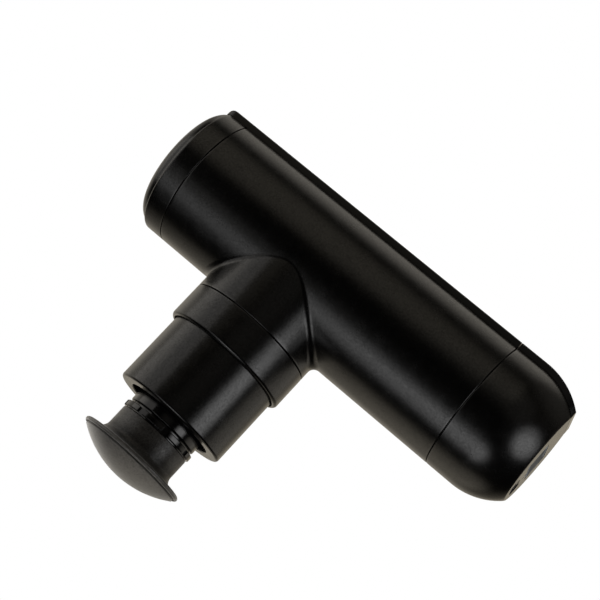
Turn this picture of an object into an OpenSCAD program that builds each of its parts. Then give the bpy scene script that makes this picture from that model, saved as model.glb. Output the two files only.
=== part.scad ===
// Compact percussion massage gun. A tubular handle holds the battery and the motor, and a side neck
// holds a sliding plunger with a mushroom-shaped massage head.
// Origin: centre of the flat bottom face. +Z runs up the handle and the head points to -X.
// The control strip is on the +X side. Millimetres.

/* [Handle] */
// Outer diameter of the handle tube
body_d = 46; // [46:0.5:48]
// Height from the flat bottom face to the top of the end cover
body_h = 146.5; // [146.5:0.5:150]
// Height of the seam between the bottom cap and the housing
bottom_seam_z = 25.4; // [24.5:0.1:26]
// Height of the seam between the housing and the top ring
top_seam_z = 135.2; // [135.2:0.1:136]
// Height of the rim of the top ring
ring_top_z = 142.8; // [142.5:0.1:143.5]
// Radius of the rounding at the bottom of the handle
round_r = 22.3; // [22:0.1:23]
// Height at which the rounding at the bottom starts
round_z = 15.6; // [15:0.1:16]
// Wall thickness of the handle
wall = 1.8; // [1.6:0.1:1.8]

/* [Control strip] */
// Width of the glossy strip along the back
strip_w = 27; // [26.5:0.5:27]
// Thickness of the strip
strip_t = 2.25; // [2:0.05:2.5]
// Height of the strip's rounded upper end
strip_top_z = 144; // [143.5:0.1:144.5]
// Diameter of the power button
button_d = 11; // [10:0.5:12]
// Travel of the power button
button_travel = 0.4; // [0.2:0.1:0.5]
// Number of level lights
led_count = 4; // [3:4]

/* [Neck] */
// Height of the neck axis
neck_z = 92.6; // [92.5:0.1:92.8]
// Diameter of the neck boss and of the collar
boss_d = 43.2; // [43:0.1:43.4]
// Distance from the handle axis to the seam between the boss and the collar
neck_seam = 28.2; // [28:0.1:28.4]
// Distance from the handle axis to the front edge of the collar
collar_end = 40.5; // [39:0.5:42]
// Outer diameter of the sleeve
sleeve_d = 39.5; // [39.3:0.1:39.6]
// Distance from the handle axis to the front face of the sleeve
sleeve_end = 64.9; // [64.5:0.1:65.2]
// Diameter of the opening in the front of the sleeve
opening_d = 30.5; // [29:0.5:31]

/* [Drive] */
// Full stroke of the plunger
stroke = 8; // [6:1:8]
// Distance between the two eyes of the connecting rod
rod_len = 34; // [33.5:0.5:34]
// Outer diameter of the plunger
plunger_d = 25; // [24.8:0.1:25]
// Diameter of the socket that takes a massage head
socket_d = 17; // [16.5:0.1:17]
// Diameter of the motor shaft
shaft_d = 5; // [5:0.1:5.2]
// Outer diameter of the rotor bell
bell_d = 32.4; // [32:0.1:32.6]

/* [Massage head] */
// Diameter of the mushroom disc
disc_d = 37.4; // [36:0.2:38]
// Diameter of the neck of the massage head
head_neck_d = 25.3; // [25:0.1:25.4]
// Distance from the handle axis to the tip of the dome
head_tip = 88.15; // [88:0.05:88.6]
// Radius of the domed front
dome_r = 31.8; // [31:0.2:33]
// Diameter of the notched flange behind the head
flange_d = 26.2; // [26:0.1:26.6]

/* [Battery] */
// Diameter of one battery cell
cell_d = 18; // [17.8:0.1:18]
// Length of one battery cell
cell_len = 50; // [49.8:0.1:50]

/* [Hidden] */
$fn = 96;

seam = 0.2;       // visible gap at a seam between two shells
fit_gap = 0.03;   // radial gap between two pieces that don't move
run_gap = 0.04;   // radial gap between two pieces that slide or turn
eps = 0.5;        // how far a cutting solid runs past a face

body_r = body_d / 2;
cavity_r = body_r - wall;
flat_a = asin(strip_w / 2 / body_r);     // half the angle that the flat back takes from the tube
flat_x = body_r * cos(flat_a);           // the tube is cut flat here, behind the strip
flat_in_x = flat_x - wall;               // inner face of the flat wall
strip_x = flat_x + strip_t;              // outer face of the strip
strip_round_r = 2.2;                     // rounding over its upper end
strip_corner_r = 3;                      // rounding of its upper corners
spigot_t = 1.3;
spigot_len = 4;
cover_r = body_r - 0.9;                  // outer radius of the end cover
cover_round_r = 4.8;                     // rounding of its edge
cover_low_z = ring_top_z + 0.05;

boss_r = boss_d / 2;
boss_bore_r = boss_r - 2;
neck_ledge_d = 22.6;                     // the guide tube is screwed to this ledge inside the boss
neck_ledge_t = 2;
flange_back_d = neck_ledge_d + neck_ledge_t + 0.05;
guide_flange_t = 1.85;
guide_flange_r = 18.2;
guide_r = 14.9;
bush_out_r = 13.7;
guide_end = 61.6;
guide_screw_r = 16.6;
guide_screw_n = 4;

plunger_r = plunger_d / 2;
crank_r = stroke / 2;
wrist_d = rod_len - crank_r;             // wrist pin's distance from the handle axis at rest
plunger_back_d = wrist_d - 6;
plunger_front_d = 68.3;
socket_depth = 22;
pin_r = 2.5;                             // crank pin and wrist pin
rod_t = 6;
eye_out_r = 10;
eye_bore_r = 8;
small_eye_r = 5.6;
bush_r = 3.5;

hub_z = 96.8;                            // underside of the crank hub
hub_t = 6.2;
hub_top_z = 108.6;
set_screw_z = 105.8;
counterweight_r = 13;
shaft_r = shaft_d / 2;
shaft_low_z = hub_z + 4.5;
shaft_top_z = 137.2;
ledge_t = 2;
motor_ledge_z = 109.5;
damper_t = 1.5;
mount_z = motor_ledge_z + ledge_t + damper_t;
mount_t = 2.5;
mount_tube_r = 7.2;
mount_tube_top_z = 131.5;
bearing_r = 5.5;
bearing_t = 4;
low_bearing_z = mount_z + 0.4;
high_bearing_z = mount_tube_top_z - 0.1 - bearing_t;
stack_z = 118.5;
stack_h = 10.5;
stator_r = 13;
tooth_n = 12;
magnet_n = 14;
bell_r = bell_d / 2;
bell_wall = 1.2;
bell_low_z = 117.6;
bell_top_z = 136.5;
motor_screw_r = 19.2;
motor_screw_angles = [60, 120, 240, 300];

cell_r = cell_d / 2;
cell_ring_r = 10.45;                     // distance of each cell's axis from the handle axis
cell_z = 13.5;
holder_flat_x = 14.9;                    // flat side of the battery holders
cable_bore_r = 1.3;
nickel_t = 0.2;
link_w = 6;
link_len = 24;
cell_top_z = cell_z + cell_len;
board_z = 68.4;                          // underside of the control board
board_t = 1.6;
board_ledge_z = board_z + board_t;
usb_board_z = 7.4;
usb_board_t = 1;
usb_post_angles = [70, 180, 290];
usb_post_ring_r = 15.3;
usb_post_r = 1.6;
usb_screw_r = 0.8;
usb_x = -11.8;
usb_port_w = 8.94;
usb_port_t = 3.26;
charge_led_x = -7.4;
charge_led_r = 0.8;
label_x = [-6.3, 3.4];
label_w = 16;
label_depth = 0.4;

button_board_x = 15.2;
button_board_t = 1;
button_base = 0.6;                       // how far the button reaches behind the strip
button_proud = 0.35;                     // how far it stands out of the strip
dish_r = 23;
dish_depth = 0.5;
stem_r = 1.1;
switch_floor_t = 0.3;
stem_x = button_board_x + button_board_t + switch_floor_t + button_travel + 0.2;
led_pitch = 3.5;
led_low_z = 72.5;
led_r = 0.9;

adapter_front_d = 71.15;
disc_back_d = 80.9;
disc_front_d = 82.3;
disc_r = disc_d / 2;
head_neck_r = head_neck_d / 2;

// ---------- shared shapes ----------

// Places children on the neck axis at distance d from the handle axis, local +Z towards the head
module on_neck(d = 0) translate([-d, 0, neck_z]) rotate([0, -90, 0]) children();

module ring(ro, ri, h) difference() {
    cylinder(h = h, r = ro);
    translate([0, 0, -eps]) cylinder(h = h + 2 * eps, r = ri);
}

// A cylinder with one side cut flat at x = flat
module d_solid(r, flat, h) intersection() {
    cylinder(h = h, r = r);
    translate([-r - eps, -r - eps, -eps]) cube([r + eps + flat, 2 * (r + eps), h + 2 * eps]);
}

// Repeats children n times around +Z, each turned to its own angle
module around(n, start = 0) for (i = [0:n - 1]) rotate([0, 0, start + 360 * i / n]) children();

// A sector of a ring, a degrees wide, centred on +X
module sector(ro, ri, a, h) intersection() {
    ring(ro, ri, h);
    linear_extrude(height = h) polygon([[0, 0], [2 * ro * cos(a / 2), -2 * ro * sin(a / 2)],
        [2 * ro * cos(a / 2), 2 * ro * sin(a / 2)]]);
}

// A socket-head screw whose head sits on z = 0, shank downwards
module screw(r, len, head_r, head_h) difference() {
    union() {
        translate([0, 0, -len]) cylinder(h = len, r = r);
        cylinder(h = head_h, r = head_r);
    }
    translate([0, 0, head_h / 2]) cylinder(h = head_h, r = head_r / 2, $fn = 6);
}

// One set of bearing balls on a circle of radius pitch_r
module balls(n, pitch_r, ball_r) around(n) translate([pitch_r, 0, 0]) sphere(r = ball_r);

// Outer radius of the handle at height z
function handle_r(z) = z >= round_z ? body_r
    : body_r - round_r + sqrt(pow(round_r, 2) - pow(round_z - z, 2));

// Where the flat back lies at height z: it follows the rounding of the bottom
function flat_at(z) = handle_r(z) * cos(flat_a);

// Heights used to draw the curved lower part of the flat back
curve_z = concat([for (i = [0:14]) round_z * (1 - cos(90 * i / 14))], [bottom_seam_z]);

// The handle's half profile from the bottom face up to height top, drawn inset by t
module handle_profile(t, floor_z, top) {
    intersection() {
        translate([body_r - round_r, round_z]) circle(r = round_r - t, $fn = 128);
        translate([0, floor_z]) square([body_r, round_z - floor_z]);
    }
    translate([0, round_z]) square([body_r - t, top - round_z]);
}

// Everything behind the flat back of the bottom cap, moved out by t
module behind_back(t, top) rotate([90, 0, 0]) linear_extrude(height = 2 * body_d, center = true)
    polygon(concat([[body_d, -eps], [flat_at(0) + t, -eps]],
        [for (z = curve_z) [flat_at(z) + t, min(z, top)]], [[body_d, top]]));

// ---------- outer shells ----------

module main_housing() color("#232326") difference() {
    union() {
        difference() {
            union() {
                translate([0, 0, bottom_seam_z]) cylinder(h = top_seam_z - bottom_seam_z, r = body_r);
                on_neck() cylinder(h = neck_seam, r = boss_r);
            }
            translate([0, 0, bottom_seam_z - eps])
                d_solid(cavity_r, flat_in_x, top_seam_z - bottom_seam_z + 2 * eps);
            on_neck() cylinder(h = neck_seam + eps, r = boss_bore_r);
        }
        translate([0, 0, board_ledge_z]) difference() {
            d_solid(cavity_r + wall / 2, flat_in_x, ledge_t);
            translate([0, 0, -eps]) cylinder(h = ledge_t + 2 * eps, r = 17.4);
        }
        translate([0, 0, motor_ledge_z]) difference() {
            d_solid(cavity_r + wall / 2, flat_in_x, ledge_t);
            translate([0, 0, -eps]) cylinder(h = ledge_t + 2 * eps, r = 17.6);
        }
        on_neck(neck_ledge_d) ring(boss_bore_r + 1, 13.8, neck_ledge_t);
    }
    translate([flat_x, -body_r, bottom_seam_z - eps]) cube([body_r, body_d, body_h]);
    // openings in the flat wall for the button and for the light guide
    translate([flat_in_x - eps, 0, neck_z]) rotate([0, 90, 0])
        cylinder(h = wall + 2 * eps, r = button_d / 2 + 1.6);
    translate([flat_in_x - eps, -2, led_low_z - 2])
        cube([wall + 2 * eps, 4, led_pitch * (led_count - 1) + 4]);
    for (a = motor_screw_angles) rotate([0, 0, a]) translate([motor_screw_r, 0, motor_ledge_z - eps])
        cylinder(h = ledge_t + 2 * eps, r = 1 + fit_gap);
    on_neck(neck_ledge_d - eps) around(guide_screw_n, 45) translate([guide_screw_r, 0, 0])
        cylinder(h = neck_ledge_t + 2 * eps, r = 1 + fit_gap);
}

module bottom_cap() color("#232326") difference() {
    union() {
        difference() {
            rotate_extrude($fn = 128) handle_profile(0, 0, bottom_seam_z - seam);
            behind_back(0, bottom_seam_z);
            difference() {
                rotate_extrude() handle_profile(wall, 2.2, bottom_seam_z);
                behind_back(-wall, bottom_seam_z);
            }
        }
        // spigot that slips into the housing, on a root that joins it to the cap's wall
        translate([0, 0, bottom_seam_z - 1.5]) difference() {
            union() {
                d_solid(cavity_r + wall / 2, flat_in_x - 0.6, 1.5 - seam);
                d_solid(cavity_r - fit_gap, flat_in_x - 0.6, spigot_len + 1.5);
            }
            translate([0, 0, -eps]) cylinder(h = spigot_len + 3, r = cavity_r - spigot_t);
        }
        // posts for the charging board
        for (a = usb_post_angles) rotate([0, 0, a]) translate([usb_post_ring_r, 0, 1])
            cylinder(h = usb_board_z - 1 - fit_gap, r = usb_post_r);
    }
    for (a = usb_post_angles) rotate([0, 0, a]) translate([usb_post_ring_r, 0, 3])
        cylinder(h = 6, r = usb_screw_r + fit_gap);
    translate([usb_x, 0, -eps]) port_shape(0.12, 4);
    translate([charge_led_x, 0, -eps]) cylinder(h = 4, r = charge_led_r + fit_gap);
    translate([label_x[0], -label_w / 2, -eps]) cube([label_x[1] - label_x[0], label_w, label_depth + eps]);
}

module top_cap_ring() color("#232326") difference() {
    union() {
        intersection() {
            rotate_extrude() union() {
                translate([0, top_seam_z + seam]) square([body_r, ring_top_z - top_seam_z - seam - 1]);
                translate([0, ring_top_z - 1.5]) square([body_r - 1, 1.5]);
                translate([body_r - 1, ring_top_z - 1]) circle(r = 1);
            }
            translate([-body_d, -body_d, 0]) cube([body_d + flat_x, 2 * body_d, body_h]);
        }
        translate([0, 0, top_seam_z - 3.7]) d_solid(cavity_r - fit_gap, flat_in_x, 5);
    }
    translate([0, 0, top_seam_z - 5]) d_solid(cavity_r - spigot_t, flat_in_x, 20);
    translate([flat_in_x - 0.3, -body_r, top_seam_z - 5]) cube([5, body_d, 5 + seam]);
}

module top_end_cover() color("#17171a") difference() {
    rotate_extrude($fn = 128) difference() {
        union() {
            intersection() {
                translate([cover_r - cover_round_r, body_h - cover_round_r]) circle(r = cover_round_r);
                translate([0, cover_low_z]) square([body_r, body_h]);
            }
            translate([0, cover_low_z]) square([cover_r - cover_round_r, body_h - cover_low_z]);
            translate([0, ring_top_z - spigot_len]) square([cavity_r - spigot_t - fit_gap, spigot_len + 1]);
        }
        square([cavity_r - spigot_t - 1.6, body_h - wall]);
    }
    // flat back: close behind the strip above the ring's rim, and inside the ring's flat wall below it
    translate([flat_x - 0.15, -body_r, ring_top_z]) cube([body_r, body_d, body_h]);
    translate([flat_in_x - 0.1, -body_r, 0]) cube([body_r, body_d, cover_low_z]);
}

module control_strip() color("#0b0b0d") difference() {
    strip_blank();
    translate([flat_x - eps, 0, neck_z]) rotate([0, 90, 0]) cylinder(h = 5, r = button_d / 2 + 0.1);
    for (i = [0:led_count - 1]) translate([flat_x - eps, 0, led_low_z + i * led_pitch])
        rotate([0, 90, 0]) cylinder(h = 5, r = led_r + fit_gap);
}

// The strip before its holes: rounded over at its upper end and at its upper corners
module strip_blank() intersection() {
    rotate([90, 0, 0]) linear_extrude(height = strip_w, center = true) union() {
        translate([flat_x + fit_gap, bottom_seam_z])
            square([strip_t - fit_gap, strip_top_z - bottom_seam_z - 2]);
        intersection() {
            translate([strip_x - strip_round_r, strip_top_z - strip_round_r]) circle(r = strip_round_r);
            translate([flat_x + fit_gap, strip_top_z - strip_round_r]) square(3);
        }
    }
    translate([flat_x - 1, 0, 0]) rotate([90, 0, 90]) linear_extrude(height = 5) union() {
        translate([-strip_w / 2, 0]) square([strip_w, strip_top_z - strip_corner_r]);
        translate([strip_corner_r - strip_w / 2, 0]) square([strip_w - 2 * strip_corner_r, strip_top_z]);
        for (s = [-1, 1]) translate([s * (strip_w / 2 - strip_corner_r), strip_top_z - strip_corner_r])
            circle(r = strip_corner_r);
    }
}

module lower_strip() color("#0b0b0d") intersection() {
    rotate([90, 0, 0]) linear_extrude(height = strip_w, center = true)
        polygon(concat([for (z = curve_z) [flat_at(z) + fit_gap, min(z, bottom_seam_z - seam)]],
            [for (i = [len(curve_z) - 1:-1:0])
                [flat_at(curve_z[i]) + strip_t, min(curve_z[i], bottom_seam_z - seam)]]));
    rotate([90, 0, 90]) linear_extrude(height = body_d)
        polygon(concat([for (z = curve_z) [-handle_r(z) * sin(flat_a), z]],
            [for (i = [len(curve_z) - 1:-1:0]) [handle_r(curve_z[i]) * sin(flat_a), curve_z[i]]]));
}

module rating_plate() color("#8a8d92") translate([label_x[0] + 0.1, -label_w / 2 + 0.1, 0.05])
    cube([label_x[1] - label_x[0] - 0.2, label_w - 0.2, label_depth - 0.08]);

module neck_collar() color("#232326") on_neck() rotate_extrude() union() {
    difference() {
        union() {
            translate([0, neck_seam + seam]) square([boss_r, collar_end - neck_seam - seam - 0.8]);
            translate([0, collar_end - 1]) square([boss_r - 0.8, 1]);
            translate([boss_r - 0.8, collar_end - 0.8]) circle(r = 0.8);
        }
        square([sleeve_d / 2 + fit_gap, collar_end + 1]);
        translate([0, collar_end - 1.4]) square([sleeve_d / 2 + 0.6, 2]);
    }
    // spigot inside the boss, and the web that joins it to the collar
    translate([guide_flange_r + 0.2, flange_back_d + 0.1])
        square([boss_bore_r - fit_gap - guide_flange_r - 0.2, neck_seam + seam - flange_back_d]);
    translate([guide_flange_r + 0.2, neck_seam + seam]) square([boss_r - guide_flange_r - 1, 0.5]);
}

module neck_sleeve() color("#232326") difference() {
    on_neck() rotate_extrude() sleeve_profile();
    // pockets that clear the heads of the guide screws
    on_neck(flange_back_d + guide_flange_t) around(guide_screw_n, 45) translate([guide_screw_r, 0, 0])
        cylinder(h = 1.5, r = 1.8);
}

module sleeve_profile() difference() {
    union() {
        translate([0, neck_seam + 0.9]) square([sleeve_d / 2, sleeve_end - neck_seam - 1.5]);
        translate([0, sleeve_end - 1]) square([sleeve_d / 2 - 0.6, 1]);
        translate([sleeve_d / 2 - 0.6, sleeve_end - 0.6]) circle(r = 0.6);
        translate([0, flange_back_d + guide_flange_t + 0.05]) square([guide_flange_r, 5]);
    }
    square([17.1, guide_end + 0.85]);
    square([opening_d / 2, sleeve_end + 1]);
}

module dust_seal() color("#101012") on_neck(guide_end + 0.05) ring(17.05, plunger_r + 0.1, 0.75);

// ---------- controls ----------

module power_button() color("#17171a") translate([flat_x - button_base, 0, neck_z]) rotate([0, 90, 0])
difference() {
    union() {
        cylinder(h = button_base + strip_t + button_proud, r = button_d / 2);
        cylinder(h = button_base - 0.05, r = button_d / 2 + 1.1);
    }
    // finger dish with a soft bottom
    translate([0, 0, button_base + strip_t + button_proud + dish_r - dish_depth]) sphere(r = dish_r);
}

module switch_stem() color("#d8d8d2") translate([stem_x, 0, neck_z]) rotate([0, 90, 0])
    cylinder(h = flat_x - button_base - 0.02 - stem_x, r = stem_r);

module switch_body() color("#3a3a3c") translate([button_board_x + button_board_t, 0, neck_z]) difference() {
    translate([0, -2.6, -2.6]) cube([1.2, 5.2, 5.2]);
    translate([switch_floor_t, 0, 0]) rotate([0, 90, 0]) cylinder(h = 2, r = stem_r + run_gap);
}

module button_board() color("#1f4d2e") translate([button_board_x, -8, board_ledge_z + ledge_t + 0.2])
    cube([button_board_t, 16, neck_z + 9 - board_ledge_z - ledge_t - 0.2]);

module status_leds() color("#f1efe2") for (i = [0:led_count - 1])
    translate([button_board_x + button_board_t, -0.8, led_low_z + i * led_pitch - 0.4]) cube([0.5, 1.6, 0.8]);

module led_light_guide() color("#e8eef2") union() {
    translate([button_board_x + button_board_t + 0.6, -1.6, led_low_z - 1.6])
        cube([flat_x - button_board_x - button_board_t - 0.65, 3.2, led_pitch * (led_count - 1) + 3.2]);
    for (i = [0:led_count - 1]) translate([flat_x - 0.5, 0, led_low_z + i * led_pitch])
        rotate([0, 90, 0]) cylinder(h = strip_t + 0.45, r = led_r);
}

// ---------- battery and electronics ----------

module control_board() color("#1f4d2e") translate([0, 0, board_z])
    d_solid(cavity_r - 0.3, flat_in_x - 0.3, board_t - fit_gap);

module board_components() color("#2c2c30") translate([0, 0, board_z + board_t]) union() {
    translate([-9, -8, 0]) cube([7, 7, 1]);
    translate([2, 4, 0]) cube([6, 8, 1.6]);
    for (i = [0:2]) translate([2 + i * 3.6, -12, 0]) cube([3, 5, 1.1]);
    for (y = [-4, 4]) translate([11, y, 0]) cylinder(h = 7, r = 2);
    translate([-12, 4, 0]) cube([8, 5, 4]);
}

module cell(i) rotate([0, 0, 60 + 120 * i]) translate([cell_ring_r, 0, cell_z]) union() {
    cylinder(h = cell_len - 0.4, r = cell_r);
    cylinder(h = cell_len, r = 3.4);
}

module battery_cell_1() color("#2f6f8f") cell(0);
module battery_cell_2() color("#2f6f8f") cell(1);
module battery_cell_3() color("#2f6f8f") cell(2);

// Clears three cells from height z up
module cell_bores(z, h) for (i = [0:2]) rotate([0, 0, 60 + 120 * i]) translate([cell_ring_r, 0, z])
    cylinder(h = h, r = cell_r + fit_gap);

module battery_holder_lower() color("#34343a") difference() {
    translate([0, 0, cell_z - 2.6]) d_solid(cavity_r - spigot_t - 0.15, holder_flat_x, 9);
    cell_bores(cell_z - 0.25, 12);
    link_shape(120, cell_z - 0.25, 1, 0.1);
    translate([0, 0, cell_z - 4]) cylinder(h = 12, r = cable_bore_r);
}

module battery_holder_upper() color("#34343a") difference() {
    translate([0, 0, cell_top_z - 8]) d_solid(cavity_r - 0.3, holder_flat_x, board_z - cell_top_z + 8 - fit_gap);
    cell_bores(cell_top_z - 9, 9.3);
    link_shape(240, cell_top_z - 0.7, 1, 0.1);
    translate([0, 0, cell_top_z + 2]) cylinder(h = 4, r = 17.5);
    translate([0, 0, cell_top_z - 9]) cylinder(h = 14, r = cable_bore_r);
}

module nickel_strips() color("#c9c9c4") {
    // series links under and over the cells
    low_z = cell_z - nickel_t - 0.02;
    high_z = cell_top_z + 0.02;
    link_shape(120, low_z, nickel_t, 0);
    link_shape(240, high_z, nickel_t, 0);
    // single tabs on the cells at the two ends of the row
    rotate([0, 0, 300]) translate([cell_ring_r, 0, low_z]) cylinder(h = nickel_t, r = link_w / 2);
    rotate([0, 0, 60]) translate([cell_ring_r, 0, high_z]) cylinder(h = nickel_t, r = link_w / 2);
}

// A strip that joins the two cells on either side of angle a, grown by g
module link_shape(a, z, h, g) rotate([0, 0, a])
    translate([cell_ring_r / 2 - link_w / 2 - g, -link_len / 2 - g, z]) cube([link_w + 2 * g, link_len + 2 * g, h]);

module charge_cable() color("#8f1d1d") translate([0, 0, usb_board_z + usb_board_t + 0.02])
    cylinder(h = board_z - usb_board_z - usb_board_t - 0.04, r = 1);

module usb_board() color("#1f4d2e") difference() {
    translate([0, 0, usb_board_z]) d_solid(17.6, 13.4, usb_board_t);
    for (a = usb_post_angles) rotate([0, 0, a]) translate([usb_post_ring_r, 0, usb_board_z - eps])
        cylinder(h = 2, r = usb_screw_r + 0.05);
}

module usb_board_screws() color("#9a9a9e") for (a = usb_post_angles) rotate([0, 0, a])
    translate([usb_post_ring_r, 0, usb_board_z + usb_board_t + 0.02]) screw(usb_screw_r, 4, 1.5, 1);

// Cross-section of the charging port, grown by g
module port_shape(g, h) linear_extrude(height = h) union() {
    square([usb_port_t + 2 * g, usb_port_w - usb_port_t], center = true);
    for (s = [-1, 1]) translate([0, s * (usb_port_w - usb_port_t) / 2]) circle(d = usb_port_t + 2 * g);
}

module usb_receptacle() color("#b9babd") translate([usb_x, 0, 0.35]) difference() {
    port_shape(0.08, usb_board_z - 0.37);
    translate([0, 0, -eps]) port_shape(-0.25, 6.5);
}

module usb_tongue() color("#15151a") translate([usb_x - 0.35, -3.2, 1.2]) cube([0.7, 6.4, 5.1]);

module charge_led_lens() color("#e8eef2") translate([charge_led_x, 0, 0.05]) cylinder(h = 3, r = charge_led_r);

// ---------- motor ----------

module motor_mount() color("#b5b7ba") difference() {
    union() {
        translate([0, 0, mount_z]) d_solid(cavity_r - 0.3, flat_in_x - 0.3, mount_t);
        translate([0, 0, mount_z]) cylinder(h = mount_tube_top_z - mount_z, r = mount_tube_r);
    }
    translate([0, 0, mount_z - eps]) cylinder(h = 30, r = bearing_r - 1);
    translate([0, 0, low_bearing_z]) cylinder(h = bearing_t + 0.1, r = bearing_r);
    translate([0, 0, high_bearing_z - 0.1]) cylinder(h = bearing_t + eps, r = bearing_r);
    for (a = motor_screw_angles) rotate([0, 0, a]) translate([motor_screw_r, 0, mount_z - eps])
        cylinder(h = mount_t + 2 * eps, r = 1.05);
}

module motor_screws() color("#9a9a9e") for (a = motor_screw_angles) rotate([0, 0, a])
    translate([motor_screw_r, 0, mount_z + mount_t + 0.02]) screw(1, 5.6, 1.6, 1.3);

module motor_dampers() color("#101012") for (a = motor_screw_angles) rotate([0, 0, a])
    translate([motor_screw_r, 0, motor_ledge_z + ledge_t + 0.01]) ring(1.8, 1.05, damper_t - 0.02);

module motor_wires() color("#c27a18") for (i = [-1:1]) rotate([0, 0, 100 + 6 * i])
    translate([16.5, 0, board_z + board_t + 0.02]) cylinder(h = mount_z - board_z - board_t - 0.05, r = 0.7);

module stator_core() color("#6f7378") translate([0, 0, stack_z]) union() {
    ring(9, mount_tube_r + fit_gap, stack_h);
    around(tooth_n) {
        translate([8.8, -1.1, 0]) cube([3.5, 2.2, stack_h]);
        sector(stator_r, 12, 24, stack_h);
    }
}

module stator_windings() color("#b5622a") around(tooth_n) translate([9.2, 0, 0]) difference() {
    translate([0, -2.1, stack_z - 1.2]) cube([2.5, 4.2, stack_h + 2.4]);
    translate([-eps, -1.15, stack_z - 0.05]) cube([4, 2.3, stack_h + 0.1]);
}

module rotor_bell() color("#4a4c50") difference() {
    union() {
        translate([0, 0, bell_low_z]) ring(bell_r, bell_r - bell_wall, bell_top_z - bell_low_z);
        translate([0, 0, bell_top_z - 1.5]) cylinder(h = 1.5, r = bell_r);
        translate([0, 0, bell_top_z - 3.9]) cylinder(h = 3.9, r = 5);
    }
    translate([0, 0, bell_top_z - 5]) cylinder(h = 10, r = shaft_r + 0.02);
    around(6) translate([10, 0, bell_top_z - 3]) cylinder(h = 5, r = 2.6);
}

module rotor_magnets() color("#8c8f94") around(magnet_n) translate([0, 0, stack_z - 0.5])
    sector(bell_r - bell_wall - 0.02, stator_r + 0.6, 22, stack_h + 1);

module motor_shaft() color("#d5d7da") translate([0, 0, shaft_low_z])
    cylinder(h = shaft_top_z - shaft_low_z, r = shaft_r);

module shaft_circlip() color("#9a9a9e") translate([0, 0, mount_z - 0.9]) ring(4.2, shaft_r + 0.02, 0.7);

module bearing_outer_rings() color("#c4c6c9") for (z = [low_bearing_z, high_bearing_z])
    translate([0, 0, z]) ring(bearing_r - 0.02, 4.55, bearing_t);

module bearing_balls() color("#e3e4e6") for (z = [low_bearing_z, high_bearing_z])
    translate([0, 0, z + bearing_t / 2]) balls(11, 4.025, 0.5);

module bearing_inner_rings() color("#c4c6c9") for (z = [low_bearing_z, high_bearing_z])
    translate([0, 0, z]) ring(3.5, shaft_r + 0.02, bearing_t);

// ---------- crank, connecting rod and plunger ----------

module crank_hub() color("#8d8f93") difference() {
    union() {
        translate([0, 0, hub_z]) cylinder(h = hub_t, r = 8.6);
        translate([0, 0, hub_z]) d_solid(counterweight_r, -1, hub_t);
        translate([0, 0, hub_z]) cylinder(h = hub_top_z - hub_z, r = 6);
    }
    translate([0, 0, shaft_low_z - 0.1]) cylinder(h = 20, r = shaft_r + 0.02);
    translate([crank_r, 0, hub_z - eps]) cylinder(h = 3.8 + eps, r = 2);
    translate([0, 0, set_screw_z]) rotate([-90, 0, 0]) cylinder(h = 10, r = 1.27);
}

module hub_set_screw() color("#4a4c50") translate([0, shaft_r + 0.05, set_screw_z]) rotate([-90, 0, 0]) difference() {
    cylinder(h = 3.3, r = 1.25);
    translate([0, 0, 2]) cylinder(h = 3, r = 0.7, $fn = 6);
}

module connecting_rod() color("#a9abae") difference() {
    union() {
        translate([crank_r, 0, neck_z - rod_t / 2]) cylinder(h = rod_t, r = eye_out_r);
        translate([-wrist_d, 0, neck_z - 3.5]) cylinder(h = 7, r = small_eye_r);
        translate([-wrist_d, -3.6, neck_z - 2]) cube([rod_len - 9, 7.2, 4]);
    }
    translate([crank_r, 0, neck_z - 2.55]) cylinder(h = rod_t, r = eye_bore_r);
    translate([crank_r, 0, neck_z - rod_t]) cylinder(h = 2 * rod_t, r = eye_bore_r - 0.8);
    translate([-wrist_d, 0, neck_z - 5]) cylinder(h = 10, r = bush_r + 0.01);
    // weight-saving channels on both faces of the beam
    for (s = [-1, 1]) translate([-wrist_d + small_eye_r + 1, -1.6, neck_z + s * 2 - 1])
        cube([rod_len - eye_out_r - small_eye_r - 2.5, 3.2, 2]);
}

module rod_bearing_outer() color("#c4c6c9") translate([crank_r, 0, neck_z - 2.5])
    ring(eye_bore_r - 0.02, 6.4, 5);

module rod_bearing_balls() color("#e3e4e6") translate([crank_r, 0, neck_z]) balls(8, 5.3, 1.07);

module rod_bearing_inner() color("#c4c6c9") translate([crank_r, 0, neck_z - 2.5]) ring(4.2, pin_r + 0.02, 5);

module crank_pin() color("#77797d") translate([crank_r, 0, 0]) difference() {
    union() {
        translate([0, 0, neck_z - 5.2]) cylinder(h = 2.65, r = 3.8);
        translate([0, 0, neck_z - 5.2]) cylinder(h = hub_z - 0.3 - neck_z + 5.2, r = pin_r);
        translate([0, 0, neck_z + 2.55]) cylinder(h = hub_z - 0.3 - neck_z - 2.55, r = 3.6);
    }
    translate([0, 0, neck_z - 6]) cylinder(h = 2.4, r = 2, $fn = 6);
}

module small_end_bush() color("#b08d3c") translate([-wrist_d, 0, neck_z - 3.5])
    ring(bush_r - 0.01, pin_r + run_gap, 7);

module wrist_pin() color("#d5d7da") translate([-wrist_d, 0, neck_z - 11.6]) cylinder(h = 23.2, r = pin_r);

module plunger() color("#0e0e10") difference() {
    on_neck() rotate_extrude() difference() {
        polygon([[0, plunger_back_d], [plunger_r, plunger_back_d], [plunger_r, plunger_front_d - 0.6],
            [plunger_r - 0.6, plunger_front_d], [0, plunger_front_d]]);
        square([9.5, wrist_d + 12]);
        translate([0, plunger_front_d - socket_depth]) square([socket_d / 2, socket_depth + 1]);
    }
    translate([-wrist_d, 0, neck_z - 15]) cylinder(h = 30, r = pin_r + 0.01);
}

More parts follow.
